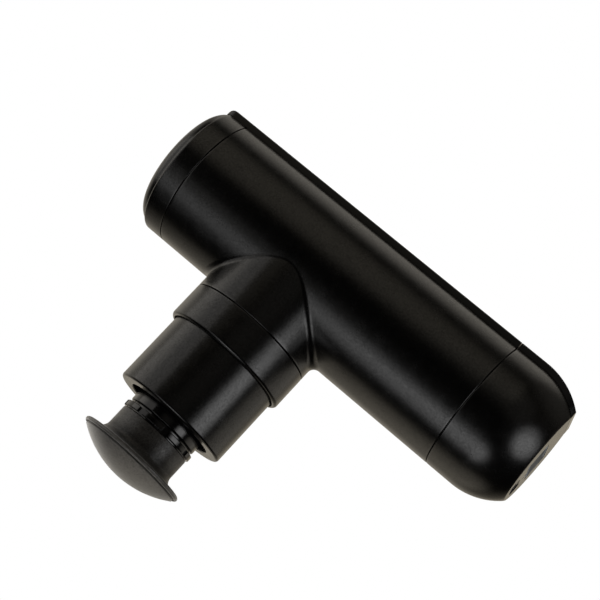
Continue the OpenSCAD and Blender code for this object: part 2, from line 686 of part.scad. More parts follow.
module guide_tube() color("#b5b7ba") on_neck() difference() {
    union() {
        translate([0, 0, flange_back_d]) cylinder(h = guide_end - flange_back_d, r = guide_r);
        translate([0, 0, flange_back_d]) cylinder(h = guide_flange_t, r = guide_flange_r);
    }
    translate([0, 0, flange_back_d - eps]) cylinder(h = 50, r = bush_out_r + 0.01);
    around(guide_screw_n, 45) translate([guide_screw_r, 0, flange_back_d - eps]) cylinder(h = 4, r = 1.05);
}

module guide_bushes() color("#b08d3c") for (d = [27, 51]) on_neck(d) ring(bush_out_r, plunger_r + run_gap, 10);

module guide_screws() color("#9a9a9e") on_neck(flange_back_d + guide_flange_t + 0.02)
    around(guide_screw_n, 45) translate([guide_screw_r, 0, 0]) screw(1, 4.2, 1.5, 1.2);

// ---------- massage head ----------

module head_adapter() color("#0e0e10") on_neck() difference() {
    rotate_extrude() difference() {
        polygon([[0, plunger_front_d - socket_depth + 1], [socket_d / 2 - 0.9, plunger_front_d - socket_depth + 1],
            [socket_d / 2 - 0.08, plunger_front_d - socket_depth + 2], [socket_d / 2 - 0.08, plunger_front_d + 0.05],
            [11.4, plunger_front_d + 0.05], [11.4, 69], [flange_d / 2 - 0.3, 69], [flange_d / 2, 69.3],
            [flange_d / 2, 70.8], [head_neck_r - 0.5, 70.8], [head_neck_r - 0.5, adapter_front_d],
            [7, adapter_front_d], [7, 78], [0, 78]]);
        for (d = [50, 61]) translate([7, d]) square([3, 2.2]);
        translate([0, 40]) square([4, 34]);
    }
    // finger notches around the flange
    around(8, 22.5) translate([flange_d / 2 - 0.7, -1.3, 68.9]) cube([2, 2.6, 2]);
}

module head_o_rings() color("#101012") on_neck() rotate_extrude() for (d = [51.1, 62.1])
    translate([7.74, d]) circle(r = 0.7, $fn = 32);

module massage_head() color("#2b2b2d") on_neck() rotate_extrude($fn = 128) difference() {
    union() {
        translate([0, adapter_front_d + 0.02]) square([head_neck_r, disc_back_d - adapter_front_d]);
        // concave flare from the neck to the disc
        difference() {
            translate([0, disc_back_d - 3.2]) square([head_neck_r + 3.2, 3.2]);
            translate([head_neck_r + 3.2, disc_back_d - 3.2]) circle(r = 3.2);
        }
        translate([0, disc_back_d - 0.02]) square([disc_r - 0.7, disc_front_d - disc_back_d + 0.02]);
        translate([disc_r - 0.7, (disc_back_d + disc_front_d) / 2]) circle(r = (disc_front_d - disc_back_d) / 2);
        intersection() {
            translate([0, head_tip - dome_r]) circle(r = dome_r, $fn = 256);
            translate([0, disc_front_d - 0.02]) square([disc_r - 0.3, 20]);
        }
    }
    translate([0, 60]) square([7 + fit_gap, 18 + fit_gap]);
    translate([-50, 0]) square([50, 200]);
}

main_housing();
bottom_cap();
top_cap_ring();
top_end_cover();
control_strip();
lower_strip();
neck_collar();
neck_sleeve();
dust_seal();
rating_plate();
power_button();
switch_stem();
switch_body();
button_board();
status_leds();
led_light_guide();
control_board();
board_components();
battery_cell_1();
battery_cell_2();
battery_cell_3();
battery_holder_lower();
battery_holder_upper();
nickel_strips();
charge_cable();
usb_board();
usb_board_screws();
usb_receptacle();
usb_tongue();
charge_led_lens();
motor_mount();
motor_screws();
motor_dampers();
motor_wires();
stator_core();
stator_windings();
rotor_bell();
rotor_magnets();
motor_shaft();
shaft_circlip();
bearing_outer_rings();
bearing_balls();
bearing_inner_rings();
crank_hub();
hub_set_screw();
connecting_rod();
rod_bearing_outer();
rod_bearing_balls();
rod_bearing_inner();
crank_pin();
small_end_bush();
wrist_pin();
plunger();
guide_tube();
guide_bushes();
guide_screws();
head_adapter();
head_o_rings();
massage_head();
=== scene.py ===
"""Looks of the massage gun: fine shells, satin and gloss plastics, soft studio light.

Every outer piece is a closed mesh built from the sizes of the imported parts. The pieces inside keep their
own shape and get a procedural material. Lengths are millimetres until a mesh is made.
"""
import bmesh
import bpy
from math import acos, asin, atan2, cos, pi, radians, sin, sqrt
from mathutils import Matrix, Vector


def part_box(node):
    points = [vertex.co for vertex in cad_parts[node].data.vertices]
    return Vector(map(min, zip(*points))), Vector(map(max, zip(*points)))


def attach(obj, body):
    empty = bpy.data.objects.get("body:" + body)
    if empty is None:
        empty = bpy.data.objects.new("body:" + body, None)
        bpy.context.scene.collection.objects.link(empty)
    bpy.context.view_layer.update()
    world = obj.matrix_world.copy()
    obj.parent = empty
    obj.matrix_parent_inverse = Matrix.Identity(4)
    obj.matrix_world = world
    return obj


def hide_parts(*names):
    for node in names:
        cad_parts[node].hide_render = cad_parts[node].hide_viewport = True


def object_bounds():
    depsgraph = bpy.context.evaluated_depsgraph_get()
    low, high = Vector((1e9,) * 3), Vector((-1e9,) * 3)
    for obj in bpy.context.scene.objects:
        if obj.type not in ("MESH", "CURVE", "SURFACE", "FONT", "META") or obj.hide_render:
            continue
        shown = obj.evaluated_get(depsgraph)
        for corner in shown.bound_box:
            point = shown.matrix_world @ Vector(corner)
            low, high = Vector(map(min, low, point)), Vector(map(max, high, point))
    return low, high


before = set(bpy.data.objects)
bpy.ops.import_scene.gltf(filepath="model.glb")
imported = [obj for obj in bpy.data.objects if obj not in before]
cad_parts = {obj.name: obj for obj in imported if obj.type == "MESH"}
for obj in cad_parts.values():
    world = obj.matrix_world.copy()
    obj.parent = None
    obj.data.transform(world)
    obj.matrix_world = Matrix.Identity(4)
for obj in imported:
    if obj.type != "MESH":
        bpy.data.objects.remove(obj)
cad_low, cad_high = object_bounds()

MM = 0.001


def span(node):
    """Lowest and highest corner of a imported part, in millimetres."""
    low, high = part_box(node)
    return low / MM, high / MM


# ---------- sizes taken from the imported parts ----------

housing_low, housing_high = span("main_housing")
ring_high = span("top_cap_ring")[1]
cover_high = span("top_end_cover")[1]
strip_low, strip_high = span("control_strip")
collar_low, collar_high = span("neck_collar")
sleeve_low, sleeve_high = span("neck_sleeve")
seal_low, seal_high = span("dust_seal")
plunger_low, plunger_high = span("plunger")
adapter_high = span("head_adapter")[1]
head_low, head_high = span("massage_head")
button_low, button_high = span("power_button")
plate_low, plate_high = span("rating_plate")
port_low, port_high = span("usb_receptacle")
lens_low, lens_high = span("charge_led_lens")
guide_low, guide_high = span("led_light_guide")
wrist_low, wrist_high = span("wrist_pin")

BODY_R = round(housing_high.y, 1)
BODY_TOP = cover_high.z
FLAT_X = housing_high.x
BOTTOM_SEAM = housing_low.z
TOP_SEAM = housing_high.z
RING_TOP = ring_high.z
NECK_SEAM = -housing_low.x
NECK_Z = (collar_low.z + collar_high.z) / 2
BOSS_R = round(collar_high.y, 1)
COLLAR_END = -collar_low.x
SLEEVE_R = round(sleeve_high.y, 2)
SLEEVE_END = -sleeve_low.x
PLUNGER_R = round(plunger_high.y, 1)
PLUNGER_FRONT = -plunger_low.x
HEAD_BACK = -head_high.x
HEAD_TIP = -head_low.x
DISC_R = round(head_high.y, 1)
FLANGE_R = round(adapter_high.y, 1)

WALL = 1.8
CAVITY_R = BODY_R - WALL
FLAT_IN = FLAT_X - WALL
ROUND_R = 22.3                 # rounding at the foot of the handle
ROUND_Z = 15.6                 # height at which that rounding starts
FLAT_SHARE = FLAT_X / BODY_R   # cosine of half the angle that the flat back takes
SEAM = 0.2                     # visible gap between two shells
EDGE = 0.25                    # rounding of the edges along a seam
FILLET = 2.5                   # rounding between the handle and the neck boss
BORE_R = BOSS_R - 2            # bore of the neck boss
SOCKET_R = 8.5                 # bore of the plunger's socket
SOCKET_DEPTH = 22
OPENING_R = 15.25              # opening in the front of the sleeve
BUTTON_HOLE_R = 5.6
HEAD_NECK_R = 12.65
STUB_R = 7                     # stub of the adapter that the head is moulded on
STUB_END = 78                  # distances along the neck are from the handle's axis
DISC_BACK = 80.9               # where the head's disc starts and ends
DISC_FRONT = 82.3
DOME_R = 31.8                  # radius of the ball that the head's face is cut from
FIT = 0.03                     # gap between two parts that don't move against each other
NECK_SCREWS_R = 16.6           # radius of the circle of screws round the neck's bore
NECK_SCREWS_TURN = 45          # where that circle starts, in degrees
SCREW_R = 1.03                 # clearance hole of a screw
SLEEVE_FLANGE_R = 18.2         # foot of the sleeve, held by the collar

ARC_STEPS = 120                # steps round the handle
CHORD_STEPS = 14               # steps across its flat back
TURN_STEPS = 192               # steps round the neck
SHARP_ANGLE = 32               # edges that turn by more degrees than this stay sharp


# ---------- outlines ----------

def arc(x, y, r, start, stop, steps=8):
    """Points on a circle from angle start to angle stop, in degrees."""
    turns = [radians(start + (stop - start) * i / steps) for i in range(steps + 1)]
    return [(x + r * cos(a), y + r * sin(a)) for a in turns]


def d_ring(r, flat, z, arc_steps=ARC_STEPS, chord_steps=CHORD_STEPS):
    """A loop at height z: a circle of radius r, cut flat at x = flat."""
    half = acos(min(flat / r, 0.9995))
    turns = [half + (2 * pi - 2 * half) * i / arc_steps for i in range(arc_steps + 1)]
    loop = [Vector((r * cos(a), r * sin(a), z)) for a in turns]
    first, last = loop[0], loop[-1]
    return loop + [last.lerp(first, i / chord_steps) for i in range(1, chord_steps)]


def handle_r(z):
    """Outer radius of the handle at height z."""
    if z >= ROUND_Z:
        return BODY_R
    return BODY_R - ROUND_R + sqrt(ROUND_R ** 2 - (ROUND_Z - z) ** 2)


# Turns the local Z axis of a revolved piece onto the neck axis, towards the head
NECK = Matrix.Translation((0, 0, NECK_Z)) @ Matrix.Rotation(radians(-90), 4, "Y")
# Turns the local Z axis onto +X, through the middle of the control strip
BACK = Matrix.Translation((0, 0, NECK_Z)) @ Matrix.Rotation(radians(90), 4, "Y")
UPRIGHT = Matrix.Identity(4)


# ---------- mesh building ----------

def solid(name, points, faces):
    """A mesh object from points in millimetres, with doubled points merged and faces turned outwards."""
    mesh = bpy.data.meshes.new(name)
    mesh.from_pydata([Vector(p) * MM for p in points], [], faces)
    edit = bmesh.new()
    edit.from_mesh(mesh)
    bmesh.ops.remove_doubles(edit, verts=edit.verts, dist=1e-7)
    bmesh.ops.dissolve_degenerate(edit, edges=edit.edges, dist=1e-8)
    bmesh.ops.recalc_face_normals(edit, faces=edit.faces)
    edit.to_mesh(mesh)
    edit.free()
    piece = bpy.data.objects.new(name, mesh)
    bpy.context.scene.collection.objects.link(piece)
    return piece


def skin(name, loops, ring=False):
    """A closed solid through loops of points. The ends are flat faces, or meet each other with ring=True."""
    count = len(loops[0])
    points = [p for loop in loops for p in loop]
    faces = []
    for k in range(len(loops) if ring else len(loops) - 1):
        a, b = k * count, (k + 1) % len(loops) * count
        faces += [(a + i, a + (i + 1) % count, b + (i + 1) % count, b + i) for i in range(count)]
    if not ring:
        faces += [tuple(range(count)), tuple(range(len(points) - count, len(points)))]
    return solid(name, points, faces)


def revolve(name, profile, place=NECK, ring=True, steps=TURN_STEPS):
    """A profile of (radius, distance along the axis) turned about the local Z axis."""
    turns = [2 * pi * i / steps for i in range(steps)]
    loops = [[place @ Vector((r * cos(a), r * sin(a), h)) for a in turns] for r, h in profile]
    return skin(name, loops, ring)


def cylinder(name, r, low, high, place=UPRIGHT, steps=64):
    return revolve(name, [(r, low), (r, high)], place, ring=False, steps=steps)


def block(name, low, high):
    corners = ((low[0], low[1]), (high[0], low[1]), (high[0], high[1]), (low[0], high[1]))
    return skin(name, [[Vector((x, y, z)) for x, y in corners] for z in (low[2], high[2])])


def combine(piece, tool, operation):
    """Cuts or adds a tool solid and removes it."""
    step = piece.modifiers.new("boolean", "BOOLEAN")
    step.operation, step.solver, step.object = operation, "EXACT", tool
    graph = bpy.context.evaluated_depsgraph_get()
    mesh = bpy.data.meshes.new_from_object(piece.evaluated_get(graph))
    piece.modifiers.clear()
    old, piece.data = piece.data, mesh
    mesh.name = piece.name
    bpy.data.meshes.remove(old)
    bpy.data.meshes.remove(tool.data)
    return piece


def cut(piece, *tools):
    for tool in tools:
        combine(piece, tool, "DIFFERENCE")
    return piece


def add(piece, *tools):
    for tool in tools:
        combine(piece, tool, "UNION")
    return piece


def finish_piece(piece, body, material, node):
    """Smooth shading that keeps flat faces flat, a material, and the body that the piece moves with."""
    mesh = piece.data
    mesh.shade_smooth()
    mesh.set_sharp_from_angle(angle=radians(SHARP_ANGLE))
    weights = piece.modifiers.new("flat_faces", "WEIGHTED_NORMAL")
    weights.keep_sharp, weights.weight = True, 80
    mesh.materials.clear()
    mesh.materials.append(material)
    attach(piece, body)
    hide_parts(node)
    return piece


# ---------- handle shells ----------

def saddle_columns():
    """Outline points of the housing's skin as (turn about the handle, height, turn about the neck)."""
    half = acos(FLAT_SHARE)
    low, high = BOTTOM_SEAM + EDGE, TOP_SEAM - EDGE
    width = BODY_R * (pi - half)
    corner_low = atan2(low - NECK_Z, width)
    corner_high = atan2(high - NECK_Z, width)
    columns = []

    def side(start, stop, turn_start, turn_stop):
        for i in range(ARC_STEPS):
            t = i / ARC_STEPS
            columns.append((start[0] + (stop[0] - start[0]) * t, start[1] + (stop[1] - start[1]) * t,
                            turn_start + (turn_stop - turn_start) * t))

    near, far = half, 2 * pi - half
    side((near, low), (near, high), corner_low, corner_high)
    side((near, high), (far, high), corner_high, pi - corner_high)
    side((far, high), (far, low), pi - corner_high, pi - corner_low)
    side((far, low), (near, low), pi - corner_low, 2 * pi + corner_low)
    return columns


def saddle_column(turn_handle, height, turn_neck):
    """Points from the front of the neck boss, over the rounded saddle, to the edge of the handle's skin."""
    boss_steps, fillet_steps, patch_steps = 8, 12, 44
    around = Vector((0, cos(turn_neck), sin(turn_neck)))
    middle = Vector((0, 0, NECK_Z))
    points = []
    for inset, back in arc(EDGE, EDGE, EDGE, 270, 180, 4):
        points.append(middle + around * (BOSS_R - inset) + Vector((-(NECK_SEAM - back), 0, 0)))
    ball = middle + around * (BOSS_R + FILLET)
    ball.x = -sqrt((BODY_R + FILLET) ** 2 - ball.y ** 2)
    start = -(NECK_SEAM - EDGE)
    for i in range(1, boss_steps):
        x = start + (ball.x - start) * i / boss_steps
        points.append(middle + around * BOSS_R + Vector((x, 0, 0)))
    to_boss = -around
    to_handle = -Vector((ball.x, ball.y, 0)).normalized()
    spread = to_boss.angle(to_handle)
    for i in range(fillet_steps + 1):
        t = i / fillet_steps
        direction = (to_boss * sin((1 - t) * spread) + to_handle * sin(t * spread)) / sin(spread)
        points.append(ball + direction * FILLET)
    touch = points[-1]
    touch_turn = atan2(touch.y, touch.x) % (2 * pi)
    for i in range(1, patch_steps + 1):
        t = (i / patch_steps) ** 1.25
        turn = touch_turn + (turn_handle - touch_turn) * t
        z = touch.z + (height - touch.z) * t
        points.append(Vector((BODY_R * cos(turn), BODY_R * sin(turn), z)))
    return points


def housing_skin():
    """The outside of the housing as one closed solid, from the neck's front face to both seams."""
    columns = [saddle_column(*point) for point in saddle_columns()]
    count, rows = len(columns), len(columns[0])
    points = [p for column in columns for p in column]
    faces = [tuple(i * rows for i in range(count))]
    for i in range(count):
        a, b = i * rows, (i + 1) % count * rows
        faces += [(a + k, b + k, b + k + 1, a + k + 1) for k in range(rows - 1)]
    edge = [i * rows + rows - 1 for i in range(count)]
    near = edge[:ARC_STEPS + 1]
    top = edge[ARC_STEPS:2 * ARC_STEPS + 1]
    far = edge[2 * ARC_STEPS:3 * ARC_STEPS + 1][::-1]
    bottom = (edge[3 * ARC_STEPS:] + [edge[0]])[::-1]

    # flat back: rows of points from the far side to the near side
    grid = []
    for low, high in zip(far, near):
        between = [points[low].lerp(points[high], i / CHORD_STEPS) for i in range(1, CHORD_STEPS)]
        grid.append([low] + list(range(len(points), len(points) + len(between))) + [high])
        points += between
    for one, two in zip(grid, grid[1:]):
        faces += [(one[i], one[i + 1], two[i + 1], two[i]) for i in range(CHORD_STEPS)]

    # rounded edge and end face at each seam
    for skirt, chord, z, sign in ((bottom, grid[0], BOTTOM_SEAM, 1), (top, grid[-1], TOP_SEAM, -1)):
        loop = skirt + chord[1:-1]
        for inset, back in arc(EDGE, EDGE, EDGE, 180, 270, 4)[1:]:
            ring = d_ring(BODY_R - inset, FLAT_X - inset, z + sign * back)
            new = list(range(len(points), len(points) + len(ring)))
            points += ring
            faces += [(loop[i - 1], loop[i], new[i], new[i - 1]) for i in range(len(loop))]
            loop = new
        faces.append(tuple(loop))
    return solid("main_housing_shell", points, faces)


def pins(name, count, ring_r, r, low, high, place, start):
    """A group of equal cylinders on a circle, as one cutting tool."""
    tools = []
    for i in range(count):
        turn = Matrix.Rotation(radians(start + 360 * i / count), 4, "Z")
        spot = place @ turn @ Matrix.Translation((ring_r, 0, 0))
        tools.append(cylinder(name, r, low, high, spot, steps=24))
    return tools


def make_housing():
    piece = housing_skin()
    board_ledge, motor_ledge, ledge = 70, 109.5, 2
    ledge_flat = FLAT_IN - 0.1
    levels = [(CAVITY_R, FLAT_IN, BOTTOM_SEAM - 1)]
    for bore_r, z in ((17.4, board_ledge), (17.6, motor_ledge)):
        levels += [(CAVITY_R, FLAT_IN, z), (bore_r, ledge_flat, z),
                   (bore_r, ledge_flat, z + ledge), (CAVITY_R, FLAT_IN, z + ledge)]
    levels.append((CAVITY_R, FLAT_IN, TOP_SEAM + 1))
    cavity = skin("cavity", [d_ring(*level, arc_steps=72, chord_steps=6) for level in levels])
    neck_ledge, tube_r = 22.6, 13.8
    bore = revolve("bore", [(0, 0), (BORE_R, 0), (BORE_R, neck_ledge), (tube_r, neck_ledge),
                            (tube_r, neck_ledge + ledge), (BORE_R, neck_ledge + ledge),
                            (BORE_R, NECK_SEAM + 1), (0, NECK_SEAM + 1)], ring=False, steps=96)
    button_room, slot_half, slot_gap = 1.5, 2, 0.4
    button_hole = cylinder("button_hole", BUTTON_HOLE_R + button_room, FLAT_IN - 1, FLAT_X + 1, BACK)
    led_slot = block("led_slot", (FLAT_IN - 1, -slot_half, guide_low.z - slot_gap),
                     (FLAT_X + 1, slot_half, guide_high.z + slot_gap))
    cut(piece, cavity, bore, button_hole, led_slot)
    motor_screws_r, motor_screw_turns = 19.2, (60, 120, 240, 300)
    low, high = motor_ledge - 1, motor_ledge + ledge + 1
    for turn in motor_screw_turns:
        place = Matrix.Rotation(radians(turn), 4, "Z") @ Matrix.Translation((motor_screws_r, 0, 0))
        cut(piece, cylinder("screw_hole", SCREW_R, low, high, place, steps=24))
    neck_holes = pins("screw_hole", 4, NECK_SCREWS_R, SCREW_R, neck_ledge - 1, neck_ledge + ledge + 1,
                      NECK, NECK_SCREWS_TURN)
    cut(piece, *neck_holes)
    return piece


def port_outline(x, grow, z, steps=16):
    """The rounded slot of the charging port at height z."""
    half = (port_high.y - port_low.y) / 2 - (port_high.x - port_low.x) / 2
    r = (port_high.x - port_low.x) / 2 + grow
    ends = arc(0, half, r, 0, 180, steps) + arc(0, -half, r, 180, 360, steps)
    return [Vector((x + px, py, z)) for px, py in ends]


def make_bottom_cap():
    top = BOTTOM_SEAM - SEAM
    inner = CAVITY_R - FIT
    bore = CAVITY_R - 1.3
    foot_turn = -asin(ROUND_Z / ROUND_R) * 180 / pi
    profile = []
    # flat bottom with a small rounded rim, then the big rounding and the straight wall
    rim = 0.35
    for x, z in arc(BODY_R - ROUND_R, ROUND_Z, ROUND_R, foot_turn, 0, 30):
        profile.append((x, x * FLAT_SHARE, z))
    foot = profile[0][0]
    profile[0] = (foot - rim, (foot - rim) * FLAT_SHARE, 0)
    profile.insert(1, (foot - 0.12 * rim, (foot - 0.12 * rim) * FLAT_SHARE, 0.12 * rim))
    profile += [(BODY_R, FLAT_X, ROUND_Z + (top - EDGE - ROUND_Z) * i / 4) for i in range(1, 5)]
    profile += [(BODY_R - d, FLAT_X - d, top - EDGE + h)
                for d, h in [(EDGE - x, y) for x, y in arc(0, 0, EDGE, 0, 90, 4)][1:]]
    # spigot that slips into the housing, with chamfered edges
    spigot_top = top + 4.2
    profile += [(inner, FLAT_IN - 0.6, top), (inner, FLAT_IN - 0.6, spigot_top - 0.3),
                (inner - 0.3, FLAT_IN - 0.9, spigot_top), (bore + 0.2, FLAT_IN - 1.5, spigot_top),
                (bore, FLAT_IN - 1.7, spigot_top - 0.2), (bore, FLAT_IN - 1.7, top - 1.3),
                (CAVITY_R, FLAT_IN, top - 1.6)]
    inner_r = ROUND_R - WALL
    floor = 2.2
    floor_turn = -asin((ROUND_Z - floor) / inner_r) * 180 / pi
    for x, z in arc(BODY_R - ROUND_R, ROUND_Z, inner_r, 0, floor_turn, 20):
        profile.append((x, max(x * FLAT_SHARE - 0.4, 1), z))
    piece = skin("bottom_cap_shell", [d_ring(*level) for level in profile])
    # posts that carry the charging board
    posts_r, post_r, post_hole_r, post_top = 15.3, 1.6, 0.83, 7.37
    for turn in (70, 180, 290):
        place = Matrix.Rotation(radians(turn), 4, "Z") @ Matrix.Translation((posts_r, 0, 0))
        add(piece, cylinder("post", post_r, floor - 1, post_top, place, steps=32))
        cut(piece, cylinder("post_hole", post_hole_r, 3, 9, place, steps=24))
    port_x = (port_low.x + port_high.x) / 2
    lens_place = Matrix.Translation(((lens_low.x + lens_high.x) / 2, 0, 0))
    flare, port_gap, over = 0.6, 0.04, 0.4
    plate_gap, plate_depth = 0.1, 0.42
    cut(piece,
        skin("port_hole", [port_outline(port_x, flare + over, -over), port_outline(port_x, port_gap, flare),
                           port_outline(port_x, port_gap, 4)]),
        revolve("lens_hole", [(1.35, -0.3), (0.84, 0.2), (0.84, 4)], lens_place, ring=False, steps=32),
        block("plate_recess", (plate_low.x - plate_gap, plate_low.y - plate_gap, -1),
              (plate_high.x + plate_gap, plate_high.y + plate_gap, plate_depth)))
    return piece


def make_top_ring():
    low = TOP_SEAM + SEAM
    bore = CAVITY_R - 1.3
    spigot = CAVITY_R - FIT
    lip = 1
    outer = [(BODY_R - x, FLAT_X - x, low + y) for x, y in arc(EDGE, EDGE, EDGE, 270, 180, 4)]
    outer += [(BODY_R, FLAT_X, low + EDGE + (RING_TOP - lip - low - EDGE) * i / 4) for i in range(1, 5)]
    outer += [(BODY_R - lip + x, FLAT_X - lip + x, RING_TOP - lip + y)
              for x, y in arc(0, 0, lip, 0, 90, 8)[1:]]
    spigot_end = low - 4.1
    inner = [(bore + 0.3, FLAT_IN, RING_TOP), (bore, FLAT_IN - 0.3, RING_TOP - 0.3),
             (bore, FLAT_IN - 0.3, spigot_end + 0.2), (bore + 0.2, FLAT_IN - 0.3, spigot_end),
             (spigot - 0.3, FLAT_IN - 0.05, spigot_end), (spigot, FLAT_IN - FIT, spigot_end + 0.3),
             (spigot, FLAT_IN - FIT, low)]
    return skin("top_cap_ring_shell", [d_ring(*level) for level in outer + inner], ring=True)


def make_end_cover():
    shoulder = 4.8
    rim = BODY_R - 0.9
    low = RING_TOP + 0.05
    spigot = CAVITY_R - 1.36
    spigot_low, spigot_wall = RING_TOP - 4, 1.6
    start = asin((low - (BODY_TOP - shoulder)) / shoulder) * 180 / pi
    reach = FLAT_X - 0.15
    flat_draw = 2.2
    inner_flat = FLAT_IN - 0.4
    profile = [(spigot - spigot_wall, inner_flat - spigot_wall, BODY_TOP - WALL),
               (spigot - spigot_wall, inner_flat - spigot_wall, spigot_low),
               (spigot, inner_flat, spigot_low), (spigot, inner_flat, low)]
    for x, z in arc(rim - shoulder, BODY_TOP - shoulder, shoulder, start, 90, 16):
        profile.append((x, reach - (1 - cos(asin((z - low) / shoulder))) * flat_draw, z))
    return skin("top_end_cover_shell", [d_ring(*level) for level in profile])


# ---------- strip ----------

def strip_outline():
    """Front outline of the control strip as (y, z, edge radius), with rounded upper corners."""
    half, corner = strip_high.y, 3
    top = strip_high.z
    side_edge, top_edge = 0.45, 2.1
    points = [(half, strip_low.z, side_edge)]
    points += [(half, strip_low.z + (top - corner - strip_low.z) * i / 30, side_edge) for i in range(1, 30)]
    for side, start, stop in ((1, 0, 90), (-1, 90, 180)):
        for k, (y, z) in enumerate(arc(side * (half - corner), top - corner, corner, start, stop, 12)):
            share = k / 12 if side == 1 else 1 - k / 12
            points.append((y, z, side_edge + (top_edge - side_edge) * share ** 1.5))
    mirrored = [(-y, z, e) for y, z, e in points[29::-1]]
    return points + mirrored


def led_heights():
    """Heights of the four level lights, from the light guide's box."""
    first, last, count = guide_low.z + 1.6, guide_high.z - 1.6, 4
    return [first + (last - first) * i / (count - 1) for i in range(count)]


def make_control_strip():
    outline = strip_outline()
    count = len(outline)
    back, front = FLAT_X + FIT, strip_high.x
    inward = []
    for i, (y, z, edge) in enumerate(outline):
        before, after = outline[max(i - 1, 0)], outline[min(i + 1, count - 1)]
        along = Vector((after[0] - before[0], after[1] - before[1], 0)).normalized()
        inward.append(Vector((-along.y, along.x)))
    loops = [[Vector((back, y, z)) for y, z, edge in outline]]
    for turn in range(0, 91, 15):
        loop = []
        for (y, z, edge), n in zip(outline, inward):
            step = edge * (1 - cos(radians(turn)))
            loop.append(Vector((front - edge * (1 - sin(radians(turn))), y + n.x * step, z + n.y * step)))
        for end in (0, -1):
            loop[end].z = outline[end][1]
        loops.append(loop)
    piece = skin("control_strip_panel", loops)
    flare = 0.2
    hole = revolve("button_hole", [(BUTTON_HOLE_R, back - 1), (BUTTON_HOLE_R, front - flare),
                                   (BUTTON_HOLE_R + 2 * flare, front + flare)], BACK, ring=False, steps=96)
    cut(piece, hole)
    led_r, led_flare = 0.93, 0.1
    led_profile = [(led_r, back - 1), (led_r, front - led_flare), (led_r + 2 * led_flare, front + led_flare)]
    for z in led_heights():
        place = Matrix.Translation((0, 0, z)) @ Matrix.Rotation(radians(90), 4, "Y")
        cut(piece, revolve("led_hole", led_profile, place, ring=False, steps=32))
    return piece


def make_lower_strip():
    """The strip's lower end, which follows the rounding of the bottom cap."""
    top = BOTTOM_SEAM - SEAM
    thick = strip_high.x - FLAT_X
    heights = [ROUND_Z * (1 - cos(radians(90 * i / 24))) for i in range(25)]
    heights += [ROUND_Z + (top - ROUND_Z) * i / 6 for i in range(1, 7)]
    share = sin(acos(FLAT_SHARE))
    edge = 0.45
    loops = []
    for z in heights:
        half = handle_r(z) * share
        back = handle_r(z) * FLAT_SHARE + FIT
        front = handle_r(z) * FLAT_SHARE + thick
        right = [(front - edge + x, half - edge + y) for x, y in arc(0, 0, edge, 0, 90, 5)]
        left = [(x, -y) for x, y in reversed(right)]
        across = [(front, (half - edge) * (1 - 2 * i / 12)) for i in range(1, 12)]
        rear = [(back, half * (-1 + 2 * i / 12)) for i in range(13)]
        loop = rear + right[::-1] + across + left[::-1]
        loops.append([Vector((x, y, z)) for x, y in loop])
    return skin("lower_strip_panel", loops)


# ---------- neck ----------

def make_collar():
    back = NECK_SEAM + SEAM
    inner = SLEEVE_R + FIT
    lip, relief = 1.1, 0.6
    relief_end = COLLAR_END - 1.6
    flange_back, flange_r = 24.75, SLEEVE_FLANGE_R + 0.2
    web = 0.5
    profile = arc(BOSS_R - EDGE, back + EDGE, EDGE, -90, 0, 4)
    profile += [(BOSS_R, back + EDGE + (COLLAR_END - lip - back - EDGE) * i / 4) for i in range(1, 5)]
    profile += arc(BOSS_R - lip, COLLAR_END - lip, lip, 0, 90, 8)[1:]
    profile += [(inner + relief, COLLAR_END), (inner + relief, relief_end + 0.2), (inner, relief_end),
                (inner, back + web), (flange_r, back + web), (flange_r, flange_back),
                (BORE_R - FIT, flange_back), (BORE_R - FIT, back)]
    return revolve("neck_collar_shell", profile)


def make_sleeve():
    lip = 0.9
    bore, chamfer, mouth = 17.1, 0.3, 0.35
    back, root = NECK_SEAM + 0.9, 26.55
    front_wall = -seal_low.x + 0.05
    side = back + chamfer
    profile = [(SLEEVE_FLANGE_R, root), (SLEEVE_FLANGE_R, back),
               (SLEEVE_R - chamfer, back), (SLEEVE_R, side)]
    profile += [(SLEEVE_R, side + (SLEEVE_END - lip - side) * i / 6) for i in range(1, 7)]
    profile += arc(SLEEVE_R - lip, SLEEVE_END - lip, lip, 0, 90, 8)[1:]
    profile += arc(OPENING_R + mouth, SLEEVE_END - mouth, mouth, 90, 180, 5)
    profile += [(OPENING_R, front_wall), (bore, front_wall), (bore, root)]
    piece = revolve("neck_sleeve_shell", profile)
    pocket_r, pocket_depth = 1.8, 1.45
    return cut(piece, *pins("screw_pocket", 4, NECK_SCREWS_R, pocket_r, root - 1, root + pocket_depth,
                            NECK, NECK_SCREWS_TURN))


def make_dust_seal():
    back, front = -seal_high.x, -seal_low.x
    lip_r, lip_round, lip_reach = PLUNGER_R + 0.1, 0.3, 1.6
    outer = round(seal_high.y, 2)
    profile = [(outer, back), (outer, front), (lip_r + lip_reach, front)]
    profile += arc(lip_r + lip_round, front - 0.1, lip_round, 60, 200, 6) + [(lip_r + 0.7, back)]
    return revolve("dust_seal_ring", profile)


